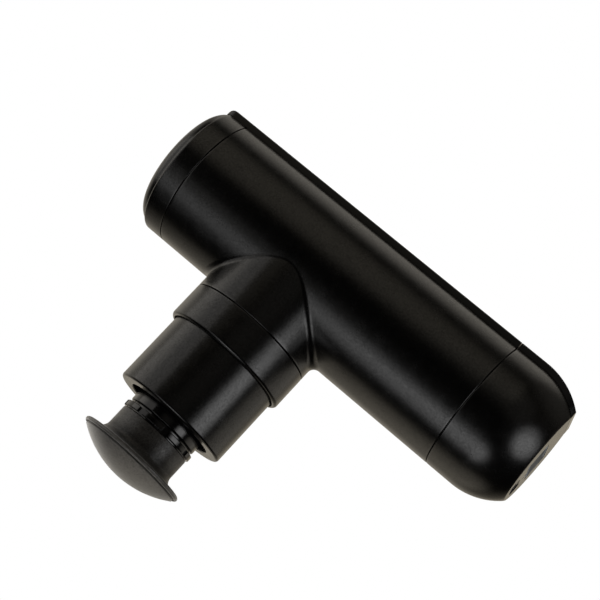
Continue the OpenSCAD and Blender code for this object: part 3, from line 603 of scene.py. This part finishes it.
def make_plunger():
    back, front = -plunger_high.x, PLUNGER_FRONT
    rod_pocket_r = 9.5
    wrist = -(wrist_low.x + wrist_high.x) / 2
    pocket_end = wrist + 12
    lip, chamfer = 0.6, 0.4
    side, socket_end = back + chamfer, front - SOCKET_DEPTH
    profile = [(rod_pocket_r, back), (PLUNGER_R - chamfer, back), (PLUNGER_R, side)]
    profile += [(PLUNGER_R, side + (front - lip - side) * i / 6) for i in range(1, 7)]
    profile += arc(PLUNGER_R - lip, front - lip, lip, 0, 90, 6)[1:]
    profile += [(SOCKET_R + chamfer, front), (SOCKET_R, front - chamfer), (SOCKET_R, socket_end),
                (0, socket_end), (0, pocket_end), (rod_pocket_r, pocket_end)]
    piece = revolve("plunger_body", profile)
    pin_r = (wrist_high.x - wrist_low.x) / 2 + FIT
    across = Matrix.Translation((-wrist, 0, NECK_Z))
    return cut(piece, cylinder("wrist_hole", pin_r, -20, 20, across, steps=64))


def make_adapter():
    """The head's stem: two grooves for O-rings, and a flange with finger notches."""
    stem = SOCKET_R - 0.08
    tail = PLUNGER_FRONT - SOCKET_DEPTH + 1
    seat = PLUNGER_FRONT + 0.05
    flange_back, flange_front = 69, 70.8
    groove_r, groove_w = 7, 2.2
    core, rib = 4, 0.25
    shoulder_r = 11.4
    head_r = FLANGE_R - 0.95
    profile = [(core, tail), (stem - 0.8, tail), (stem, tail + 0.9)]
    for groove in (50, 61):
        profile += [(stem, groove), (groove_r, groove),
                    (groove_r, groove + groove_w), (stem, groove + groove_w)]
    profile += [(stem, seat), (shoulder_r, seat), (shoulder_r, flange_back), (FLANGE_R - rib, flange_back)]
    profile += arc(FLANGE_R - rib, flange_back + rib, rib, -90, 0, 4)[1:]
    profile += arc(FLANGE_R - rib, flange_front - rib, rib, 0, 90, 4)
    profile += [(head_r, flange_front), (head_r, HEAD_BACK - 0.02), (STUB_R, HEAD_BACK - 0.02),
                (STUB_R, STUB_END), (0, STUB_END), (0, STUB_END - 4), (core, STUB_END - 4)]
    piece = revolve("head_adapter_body", profile)
    notches, notch_depth = 8, 0.7
    notch_shape = ((0, -1), (3, -2), (3, 2), (0, 1))
    for i in range(notches):
        turn = NECK @ Matrix.Rotation(2 * pi * (i + 0.5) / notches, 4, "Z")
        notch = [[turn @ Vector((FLANGE_R - notch_depth + x, y, h)) for x, y in notch_shape]
                 for h in (flange_back - 0.3, flange_front + 0.02)]
        cut(piece, skin("notch", notch))
    return piece


def make_head():
    """The mushroom head: neck, concave flare, thin rim with a parting line, and a dome."""
    flare, chamfer = 3.2, 0.3
    rim = (DISC_FRONT - DISC_BACK) / 2
    back, flare_start = HEAD_BACK + chamfer, DISC_BACK - flare
    bore_r, bore_end = STUB_R + FIT, STUB_END + FIT
    profile = [(bore_r, HEAD_BACK), (HEAD_NECK_R - chamfer, HEAD_BACK), (HEAD_NECK_R, back)]
    profile += [(HEAD_NECK_R, back + (flare_start - back) * i / 5) for i in range(1, 5)]
    profile += arc(HEAD_NECK_R + flare, flare_start, flare, 180, 90, 14)
    profile += [(DISC_R - rim - 0.9, DISC_BACK - 0.02), (DISC_R - rim, DISC_BACK)]
    profile += arc(DISC_R - rim, DISC_BACK + rim, rim, -90, 90, 14)[1:-1]
    # parting line between the rim and the dome
    line_r, line_depth = DISC_R - 0.75, 0.14
    profile += [(line_r + 0.12, DISC_FRONT), (line_r + 0.05, DISC_FRONT - line_depth),
                (line_r - 0.12, DISC_FRONT - line_depth), (line_r - 0.2, DISC_FRONT + 0.02)]
    dome_turn = asin((line_r - 0.35) / DOME_R)
    dome_middle = HEAD_TIP - DOME_R
    dome_steps = 40
    for i in range(dome_steps + 1):
        turn = dome_turn * (1 - i / dome_steps)
        profile.append((DOME_R * sin(turn), dome_middle + DOME_R * cos(turn)))
    profile += [(0, bore_end), (bore_r, bore_end)]
    return revolve("massage_head_body", profile)


# ---------- controls ----------

def make_button():
    r = BUTTON_HOLE_R - 0.1
    back, front = button_low.x, button_high.x
    flange_r, flange_t = r + 1.1, 0.55
    dish = 23                  # radius of the hollow in its face
    edge = 0.45
    depth = dish - sqrt(dish ** 2 - (r - edge) ** 2)
    profile = [(0, back), (flange_r, back), (flange_r, back + flange_t), (r, back + flange_t)]
    profile += [(r, front - edge)] + arc(r - edge, front - edge, edge, 0, 90, 6)[1:]
    for i in range(1, 17):
        x = (r - edge) * (1 - i / 16)
        profile.append((x, front - depth + dish - sqrt(dish ** 2 - x ** 2)))
    return revolve("power_button_cap", profile, BACK, ring=False, steps=96)


# ---------- materials ----------

class Nodes:
    """A short way to write a material's node tree."""

    def __init__(self, name):
        self.material = bpy.data.materials.new(name)
        self.material.use_nodes = True
        self.tree = self.material.node_tree
        self.shader = self.tree.nodes["Principled BSDF"]
        place = self.add("ShaderNodeTexCoord").outputs["Object"]
        scaled = self.add("ShaderNodeVectorMath", operation="SCALE")
        scaled.inputs["Scale"].default_value = 1 / MM
        self.link(place, scaled.inputs[0])
        self.place = scaled.outputs[0]     # object coordinates in millimetres

    def add(self, kind, **settings):
        node = self.tree.nodes.new(kind)
        for key, value in settings.items():
            setattr(node, key, value)
        return node

    def link(self, a, b):
        self.tree.links.new(a, b)

    def put(self, value, socket):
        """Sets a socket to a number or colour, or links another socket to it."""
        if isinstance(value, bpy.types.NodeSocket):
            self.link(value, socket)
        else:
            socket.default_value = value

    def math(self, operation, a, b=0.0, clamp=False):
        node = self.add("ShaderNodeMath", operation=operation, use_clamp=clamp)
        for value, socket in zip((a, b), node.inputs):
            self.put(value, socket)
        return node.outputs[0]

    def stretched(self, stretch):
        """Coordinates squeezed along some axes, which draws noise out into streaks."""
        node = self.add("ShaderNodeVectorMath", operation="MULTIPLY")
        self.link(self.place, node.inputs[0])
        node.inputs[1].default_value = stretch
        return node.outputs[0]

    def noise(self, size, detail=2.0, rough=0.5, stretch=None):
        """Noise with features about size millimetres wide, from 0 to 1."""
        node = self.add("ShaderNodeTexNoise")
        self.link(self.stretched(stretch) if stretch else self.place, node.inputs["Vector"])
        node.inputs["Scale"].default_value = 1 / size
        node.inputs["Detail"].default_value = detail
        node.inputs["Roughness"].default_value = rough
        return node.outputs["Fac"]

    def spread(self, value, low, high, from_low=0.3, from_high=0.7):
        """Maps the range from_low to from_high of a value onto low to high."""
        node = self.add("ShaderNodeMapRange", clamp=True)
        self.link(value, node.inputs["Value"])
        ends = (("From Min", from_low), ("From Max", from_high), ("To Min", low), ("To Max", high))
        for key, number in ends:
            node.inputs[key].default_value = number
        return node.outputs["Result"]

    def mix(self, factor, a, b):
        node = self.add("ShaderNodeMix", data_type="RGBA")
        self.put(factor, node.inputs[0])
        for value, socket in ((a, node.inputs[6]), (b, node.inputs[7])):
            self.put((*value, 1) if isinstance(value, tuple) and len(value) == 3 else value, socket)
        return node.outputs[2]

    def edges(self, radius):
        """1 on convex and concave edges within radius millimetres, 0 elsewhere."""
        bevel = self.add("ShaderNodeBevel", samples=6)
        bevel.inputs["Radius"].default_value = radius * MM
        normal = self.add("ShaderNodeNewGeometry").outputs["Normal"]
        dot = self.add("ShaderNodeVectorMath", operation="DOT_PRODUCT")
        self.link(bevel.outputs[0], dot.inputs[0])
        self.link(normal, dot.inputs[1])
        same, turned = 0.995, 0.86
        return self.spread(dot.outputs["Value"], 1.0, 0.0, turned, same)

    def bump(self, layers):
        """Stacks (height, depth in millimetres) layers into one bumped normal."""
        normal = None
        for height, depth in layers:
            node = self.add("ShaderNodeBump")
            node.inputs["Strength"].default_value = 1
            node.inputs["Distance"].default_value = depth * MM
            self.link(height, node.inputs["Height"])
            if normal is not None:
                self.link(normal, node.inputs["Normal"])
            normal = node.outputs["Normal"]
        self.link(normal, self.shader.inputs["Normal"])

    def set(self, **inputs):
        for key, value in inputs.items():
            socket = self.shader.inputs[key.replace("_", " ")]
            if isinstance(value, tuple) and len(value) == 3:
                value = (*value, 1)
            self.put(value, socket)


def tint(colour, factor):
    return tuple(channel * factor for channel in colour)


def moulded(name, colour, rough, grain_depth=0.006, wear=0.35, vary=0.05):
    """Injection-moulded plastic: spark-eroded grain, cloudy gloss, and rubbed, glossier edges."""
    grain_size, gloss = 0.35, 0.5
    m = Nodes(name)
    cloud = m.noise(14, 4, 0.6)
    patch = m.noise(3.2, 3, 0.55)
    fine = m.noise(grain_size, 3, 0.65)
    finer = m.noise(grain_size * 0.4, 2, 0.6)
    edge = m.edges(0.35)
    rubbed = m.math("MULTIPLY", edge, m.spread(m.noise(1.6, 4, 0.7), 0.15, 1.0))
    base = m.mix(m.spread(cloud, 0, 1), tint(colour, 0.86), tint(colour, 1.14))
    base = m.mix(m.spread(fine, 0, 0.35), base, tint(colour, 1.35))
    base = m.mix(m.math("MULTIPLY", rubbed, wear), base, tuple(c * 2.2 + 0.01 for c in colour))
    roughness = m.math("ADD", m.spread(patch, rough - vary, rough + vary), m.spread(fine, -0.03, 0.03))
    roughness = m.math("SUBTRACT", roughness, m.math("MULTIPLY", rubbed, 0.12), clamp=True)
    rim = m.edges(1.1)
    roughness = m.math("SUBTRACT", roughness, m.math("MULTIPLY", rim, 0.05), clamp=True)
    speckle = m.spread(m.noise(grain_size * 1.3, 2, 0.7), gloss * 0.72, gloss * 1.3, 0.36, 0.64)
    speckle = m.math("ADD", speckle, m.math("MULTIPLY", rim, 0.5), clamp=True)
    m.set(Base_Color=base, Roughness=roughness, Specular_IOR_Level=speckle)
    m.bump([(fine, grain_depth), (finer, grain_depth * 0.5), (cloud, 0.02)])
    return m.material


def glossy(name, colour, rough):
    """Polished plastic: a slow ripple of the mould, hairline scratches and a trace of smears."""
    m = Nodes(name)
    ripple = m.noise(11, 2, 0.4)
    smear = m.noise(6, 5, 0.7, stretch=(1.0, 0.5, 1.6))
    scratch = m.noise(0.5, 2, 0.5, stretch=(1.0, 1.0, 0.02))
    hair = m.spread(scratch, 0, 1, 0.66, 0.72)
    edge = m.edges(0.3)
    base = m.mix(m.spread(ripple, 0, 1), tint(colour, 0.85), tint(colour, 1.2))
    base = m.mix(m.math("MULTIPLY", edge, 0.12), base, tuple(c * 2 + 0.008 for c in colour))
    roughness = m.math("ADD", m.spread(smear, rough, rough + 0.07), m.math("MULTIPLY", hair, 0.1))
    m.set(Base_Color=base, Roughness=roughness, Specular_IOR_Level=0.5)
    m.bump([(ripple, 0.012), (hair, 0.0008)])
    return m.material


def rubber(name, colour, rough, grain_size, grain_depth, sheen=0.05):
    """Matt elastomer: leather-fine grain with pits, a soft sheen, some dust, and painted shade in crevices.
    """
    m = Nodes(name)
    grain = m.add("ShaderNodeTexVoronoi", feature="SMOOTH_F1")
    m.link(m.place, grain.inputs["Vector"])
    grain.inputs["Scale"].default_value = 1 / grain_size
    cells = grain.outputs["Distance"]
    fine = m.noise(grain_size * 0.5, 3, 0.6)
    cloud = m.noise(9, 4, 0.6)
    pits = m.noise(grain_size * 1.8, 2, 0.7)
    dust = m.spread(m.noise(0.9, 4, 0.75), 0, 1, 0.62, 0.78)
    edge = m.edges(0.4)
    base = m.mix(m.spread(cloud, 0, 1), tint(colour, 0.85), tint(colour, 1.15))
    base = m.mix(m.spread(fine, 0, 0.5), base, tint(colour, 1.5))
    base = m.mix(m.spread(pits, 0, 0.9, 0.46, 0.66), base, tint(colour, 0.4))
    base = m.mix(m.math("MULTIPLY", dust, 0.12), base, tuple(c + 0.03 for c in colour))
    base = m.mix(m.math("MULTIPLY", edge, 0.3), base, tint(colour, 1.8))
    roughness = m.math("ADD", m.spread(cloud, rough - 0.04, rough + 0.04), m.spread(fine, -0.04, 0.04))
    speckle = m.spread(m.noise(grain_size * 0.7, 2, 0.7), 0.2, 0.9, 0.36, 0.64)
    # Painted shade: ambient occlusion finds the crevices and hollows, such as the flare behind the head's
    # disc.
    painted_shade_ao = m.add("ShaderNodeAmbientOcclusion", samples=8)
    painted_shade_ao.inputs["Distance"].default_value = 11 * MM
    unshaded_share = m.spread(painted_shade_ao.outputs["AO"], 0.02, 1.0, 0.66, 0.97)
    # Painted shade: where the occlusion is strong, the colour is darkened towards a near-black tint and the
    # reflection and sheen are cut.
    base = m.mix(m.math("MULTIPLY", unshaded_share, unshaded_share), tint(colour, 0.15), base)
    m.set(Base_Color=base, Roughness=roughness, Specular_IOR_Level=m.math("MULTIPLY", speckle, unshaded_share),
          Sheen_Weight=m.math("MULTIPLY", unshaded_share, sheen), Sheen_Roughness=0.35)
    m.bump([(cells, grain_depth), (fine, grain_depth * 0.6)])
    return m.material


def metal(name, colour, rough, stretch=(1.0, 1.0, 0.06), line=0.002):
    """Machined or cast metal: fine tool lines, stains and brighter edges."""
    m = Nodes(name)
    lines = m.noise(0.3, 3, 0.6, stretch=stretch)
    stain = m.noise(2.6, 4, 0.6)
    edge = m.edges(0.25)
    base = m.mix(m.spread(stain, 0, 1), tint(colour, 0.8), tint(colour, 1.08))
    base = m.mix(m.math("MULTIPLY", edge, 0.5), base, tuple(min(c * 1.5, 1) for c in colour))
    roughness = m.math("ADD", m.spread(lines, rough - 0.07, rough + 0.07), m.spread(stain, -0.04, 0.06))
    m.set(Base_Color=base, Roughness=roughness, Metallic=1.0)
    m.bump([(lines, line), (stain, 0.004)])
    return m.material


def circuit_board(name):
    """Green solder mask over faint copper tracks, with a woven glass texture under it."""
    m = Nodes(name)
    brick = m.add("ShaderNodeTexBrick", offset=0.5)
    m.link(m.place, brick.inputs["Vector"])
    for key, number in (("Scale", 0.35), ("Mortar Size", 0.03), ("Brick Width", 0.9), ("Row Height", 0.35)):
        brick.inputs[key].default_value = number
    tracks = brick.outputs["Fac"]
    weave = m.noise(0.25, 2, 0.5, stretch=(1.0, 0.3, 1.0))
    base = m.mix(m.spread(weave, 0, 1), (0.02, 0.1, 0.04), (0.03, 0.14, 0.06))
    base = m.mix(m.math("MULTIPLY", tracks, 0.5), base, (0.06, 0.24, 0.09))
    m.set(Base_Color=base, Roughness=m.spread(weave, 0.28, 0.4), Coat_Weight=0.4, Coat_Roughness=0.15)
    m.bump([(tracks, 0.02), (weave, 0.004)])
    return m.material


def lens(name):
    """Clear moulded light guide with a slightly frosted, uneven surface."""
    m = Nodes(name)
    frost = m.noise(0.5, 3, 0.6)
    cloud = m.noise(3, 3, 0.5)
    m.set(Base_Color=m.mix(m.spread(cloud, 0, 1), (0.62, 0.66, 0.7), (0.8, 0.83, 0.86)),
          Roughness=m.spread(frost, 0.12, 0.3), Transmission_Weight=0.55, IOR=1.49)
    m.bump([(frost, 0.004)])
    return m.material


def foil(name):
    """Blank foil plate: a thin pale line inside its edge, and a brushed, slightly mottled field."""
    m = Nodes(name)
    xyz = m.add("ShaderNodeSeparateXYZ")
    m.link(m.place, xyz.inputs[0])

    def from_middle(socket, low, high):
        shifted = m.math("SUBTRACT", socket, (low + high) / 2)
        return m.math("SUBTRACT", (high - low) / 2, m.math("ABSOLUTE", shifted))

    near = m.math("MINIMUM", from_middle(xyz.outputs["X"], plate_low.x, plate_high.x),
                  from_middle(xyz.outputs["Y"], plate_low.y, plate_high.y))
    line_from, line_to = 0.55, 0.85
    line = m.math("MULTIPLY", m.math("GREATER_THAN", near, line_from), m.math("LESS_THAN", near, line_to))
    streak = m.noise(0.4, 3, 0.6, stretch=(1.0, 0.08, 1.0))
    mottle = m.noise(4, 3, 0.6)
    base = m.mix(m.spread(streak, 0, 1), (0.03, 0.036, 0.046), (0.042, 0.05, 0.062))
    base = m.mix(line, base, (0.3, 0.36, 0.44))
    roughness = m.math("ADD", m.spread(mottle, 0.5, 0.62), m.spread(streak, -0.04, 0.04))
    m.set(Base_Color=base, Roughness=roughness, Specular_IOR_Level=0.2)
    m.bump([(streak, 0.002), (mottle, 0.01)])
    return m.material


def shrink_wrap(name, colour):
    """Plain shrink sleeve of a battery cell, pulled into faint ripples."""
    m = Nodes(name)
    ripple = m.noise(2.2, 3, 0.5, stretch=(1.0, 1.0, 0.3))
    fleck = m.noise(0.3, 2, 0.5)
    base = m.mix(m.spread(ripple, 0, 1), tint(colour, 0.8), tint(colour, 1.2))
    m.set(Base_Color=base, Roughness=m.spread(fleck, 0.24, 0.34), Coat_Weight=0.3)
    m.bump([(ripple, 0.03), (fleck, 0.001)])
    return m.material


MATERIALS = {
    "shell_black": moulded("shell_black", (0.0009, 0.00085, 0.0008), 0.24, grain_depth=0.005,
                           wear=0.12, vary=0.025),
    "gloss_black": glossy("gloss_black", (0.0018, 0.0018, 0.0019), 0.11),
    "head_rubber": rubber("head_rubber", (0.05, 0.047, 0.043), 0.36, 0.45, 0.016, sheen=0.7),
    "seal_rubber": rubber("seal_rubber", (0.006, 0.006, 0.006), 0.55, 0.3, 0.006),
    "label_foil": foil("label_foil"),
    "holder_plastic": moulded("holder_plastic", (0.03, 0.03, 0.036), 0.5),
    "switch_white": moulded("switch_white", (0.7, 0.7, 0.66), 0.4, wear=0.1),
    "clear_lens": lens("clear_lens"),
    "board_green": circuit_board("board_green"),
    "chip_black": moulded("chip_black", (0.02, 0.02, 0.022), 0.55, wear=0.2),
    "cell_wrap": shrink_wrap("cell_wrap", (0.04, 0.17, 0.28)),
    "nickel": metal("nickel", (0.62, 0.59, 0.54), 0.32, stretch=(0.1, 1.0, 1.0)),
    "steel": metal("steel", (0.6, 0.61, 0.62), 0.26),
    "dark_steel": metal("dark_steel", (0.13, 0.13, 0.14), 0.36),
    "cast_alloy": metal("cast_alloy", (0.55, 0.56, 0.57), 0.42, stretch=(1.0, 1.0, 1.0), line=0.008),
    "bronze": metal("bronze", (0.56, 0.4, 0.18), 0.38, stretch=(1.0, 1.0, 1.0), line=0.006),
    "copper": metal("copper", (0.66, 0.3, 0.14), 0.34, stretch=(1.0, 1.0, 0.3), line=0.02),
    "cable_red": rubber("cable_red", (0.34, 0.025, 0.02), 0.45, 0.3, 0.004),
    "cable_orange": rubber("cable_orange", (0.6, 0.25, 0.03), 0.45, 0.3, 0.004),
}


# ---------- pieces ----------

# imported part, maker of its visible piece, body, material slot
PIECES = [
    ("main_housing", make_housing, "housing", "shell_black"),
    ("bottom_cap", make_bottom_cap, "housing", "shell_black"),
    ("top_cap_ring", make_top_ring, "housing", "shell_black"),
    ("top_end_cover", make_end_cover, "housing", "shell_black"),
    ("control_strip", make_control_strip, "housing", "gloss_black"),
    ("lower_strip", make_lower_strip, "housing", "gloss_black"),
    ("neck_collar", make_collar, "housing", "shell_black"),
    ("neck_sleeve", make_sleeve, "housing", "shell_black"),
    ("dust_seal", make_dust_seal, "housing", "seal_rubber"),
    ("power_button", make_button, "button", "gloss_black"),
    ("plunger", make_plunger, "plunger", "gloss_black"),
    ("head_adapter", make_adapter, "head", "gloss_black"),
    ("massage_head", make_head, "head", "head_rubber"),
]

for node, maker, body, slot_name in PIECES:
    finish_piece(maker(), body, MATERIALS[slot_name], node)

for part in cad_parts.values():
    for material_slot in part.material_slots:
        material_slot.material = MATERIALS[material_slot.material.name.split(".")[0]]


# ---------- stage, light and camera ----------

CAMERA_PLACE = Vector((-129.19, -513.48, -39.17)) * MM
CAMERA_AIM = Vector((-9.91, 0, 87.96)) * MM
CAMERA_UP = Vector((0.7133, -0.3201, 0.6235))
CAMERA_LENS = 104.3
FORWARD = (CAMERA_AIM - CAMERA_PLACE).normalized()
CAMERA_RIGHT = FORWARD.cross(CAMERA_UP).normalized()
CAMERA_UPWARD = CAMERA_RIGHT.cross(FORWARD)

# Bright patches of the room: degrees right of and above the camera, radius, blur, level, warmth
ROOM = (
    (-45, -34, 13, 8, 2.0, 0),         # left soft box and its upper part
    (-48, -12, 9, 6, 0.85, 0),
    (-48, 9, 11, 7, 0.5, 0.2),
    (8, 66, 20, 12, 0.42, 1),          # ceiling
    (146, 42, 20, 16, 0.9, 0.7),       # pale wall behind on the right
    (104, 24, 22, 18, 0.12, 0.7),
    (112, -35, 20, 12, 0.6, 0.7),
    (-125, 38, 28, 12, 0.5, 0.7),      # pale wall behind on the left
    (-125, -53, 17, 11, 0.6, 1),       # floor behind on the left
    (-152, -2, 28, 18, 0.34, 0.8),
    (180, -12, 35, 25, 0.24, 1.2),     # backdrop behind the object
    (160, -18, 13, 8, 0.3, 1.2),
    (70, 25, 30, 20, 0.05, 1),         # dim wall on the right
    (26, 28, 20, 10, 0.11, 0.6),
)
WARM = (1, 0.91, 0.75)


def make_camera():
    data = bpy.data.cameras.new("camera")
    data.lens, data.sensor_width = CAMERA_LENS, 36
    data.clip_start, data.clip_end = 0.01, 20
    camera = bpy.data.objects.new("camera", data)
    bpy.context.scene.collection.objects.link(camera)
    turn = Matrix((CAMERA_RIGHT, CAMERA_UPWARD, -FORWARD)).transposed().to_4x4()
    camera.matrix_world = Matrix.Translation(CAMERA_PLACE) @ turn
    bpy.context.scene.camera = camera


def towards(across, above):
    """Direction from the object, in degrees right of the camera and above it, as the camera sees them."""
    a, e = radians(across), radians(above)
    return CAMERA_RIGHT * (sin(a) * cos(e)) + CAMERA_UPWARD * sin(e) - FORWARD * (cos(a) * cos(e))


def soft_light(name, across, above, distance, size, level, colour=(1, 1, 1), glossy=True):
    """A round soft box that faces the object; level is its brightness in a mirror."""
    direction = towards(across, above)
    data = bpy.data.lights.new(name, "AREA")
    data.shape, data.size, data.color = "DISK", size, colour
    data.energy = level * pi * pi * (size / 2) ** 2
    light = bpy.data.objects.new(name, data)
    light.location = (cad_low + cad_high) / 2 + direction * distance
    light.rotation_mode = "QUATERNION"
    light.rotation_quaternion = direction.to_track_quat("Z", "Y")
    light.visible_camera = False
    light.visible_glossy = glossy
    bpy.context.scene.collection.objects.link(light)


def make_world():
    """White to the camera. The object sees a dark room with soft boxes and pale walls in it."""
    world = bpy.data.worlds.new("studio")
    bpy.context.scene.world = world
    world.use_nodes = True
    tree = world.node_tree
    tree.nodes.clear()

    def node(kind, **settings):
        made = tree.nodes.new(kind)
        for key, value in settings.items():
            setattr(made, key, value)
        return made

    def patch(across, above, radius, blur, level, warmth):
        """A round bright patch of the room, radius degrees wide, that fades out over blur degrees."""
        dot = node("ShaderNodeVectorMath", operation="DOT_PRODUCT")
        tree.links.new(place.outputs["Generated"], dot.inputs[0])
        dot.inputs[1].default_value = towards(across, above)
        fade = node("ShaderNodeMapRange", clamp=True, interpolation_type="SMOOTHSTEP")
        tree.links.new(dot.outputs["Value"], fade.inputs["Value"])
        fade.inputs["From Min"].default_value = cos(radians(radius + blur))
        fade.inputs["From Max"].default_value = cos(radians(max(radius - blur, 0)))
        light = node("ShaderNodeVectorMath", operation="SCALE")
        light.inputs[0].default_value = [level * (1 + (c - 1) * warmth) for c in WARM]
        tree.links.new(fade.outputs["Result"], light.inputs["Scale"])
        return light.outputs[0]

    place = node("ShaderNodeTexCoord")
    total = None
    for values in ROOM:
        light = patch(*values)
        if total:
            both = node("ShaderNodeVectorMath", operation="ADD")
            tree.links.new(total, both.inputs[0])
            tree.links.new(light, both.inputs[1])
            light = both.outputs[0]
        total = light
    room, backdrop = node("ShaderNodeBackground"), node("ShaderNodeBackground")
    tree.links.new(total, room.inputs["Color"])
    backdrop.inputs["Color"].default_value = (1, 1, 1, 1)
    mixer = node("ShaderNodeMixShader")
    tree.links.new(node("ShaderNodeLightPath").outputs["Is Camera Ray"], mixer.inputs["Fac"])
    tree.links.new(room.outputs[0], mixer.inputs[1])
    tree.links.new(backdrop.outputs[0], mixer.inputs[2])
    tree.links.new(mixer.outputs[0], node("ShaderNodeOutputWorld").inputs["Surface"])


def make_floor():
    """A pale floor under the object. It is clear from below, where the main camera looks from."""
    reach = 3
    mesh = bpy.data.meshes.new("floor")
    corners = [(-reach, -reach, 0), (reach, -reach, 0), (reach, reach, 0), (-reach, reach, 0)]
    mesh.from_pydata(corners, [], [(0, 1, 2, 3)])
    floor = bpy.data.objects.new("floor", mesh)
    floor.location.z = -0.0003
    bpy.context.scene.collection.objects.link(floor)
    m = Nodes("floor_paint")
    mottle = m.noise(60, 3, 0.5)
    m.set(Base_Color=m.mix(m.spread(mottle, 0, 1), (0.8, 0.8, 0.79), (0.84, 0.84, 0.83)), Roughness=0.6,
          Specular_IOR_Level=0.1, Emission_Color=(0.97, 0.97, 1, 1), Emission_Strength=0.62)
    output = m.tree.nodes["Material Output"]
    clear = m.add("ShaderNodeBsdfTransparent")
    mixer = m.add("ShaderNodeMixShader")
    m.link(m.add("ShaderNodeNewGeometry").outputs["Backfacing"], mixer.inputs["Fac"])
    m.link(m.shader.outputs[0], mixer.inputs[1])
    m.link(clear.outputs[0], mixer.inputs[2])
    m.link(mixer.outputs[0], output.inputs["Surface"])
    mesh.materials.append(m.material)
    floor.visible_shadow = floor.visible_glossy = floor.visible_diffuse = floor.visible_transmission = False


make_camera()
make_world()
make_floor()
soft_light("right_box", 46, -21, 0.235, 0.155, 1.1)
soft_light("right_box_core", 45.5, -22, 0.233, 0.1, 1.3)
soft_light("left_panel", -78, 42, 0.28, 0.3, 0.66, (1, 0.97, 0.93))
soft_light("floor_wash", -125, 38, 2.4, 2.2, 2.2, glossy=False)
soft_light("low_fill", -20, -66, 0.8, 0.8, 2.4, glossy=False)

bpy.context.scene.view_settings.view_transform = "Standard"
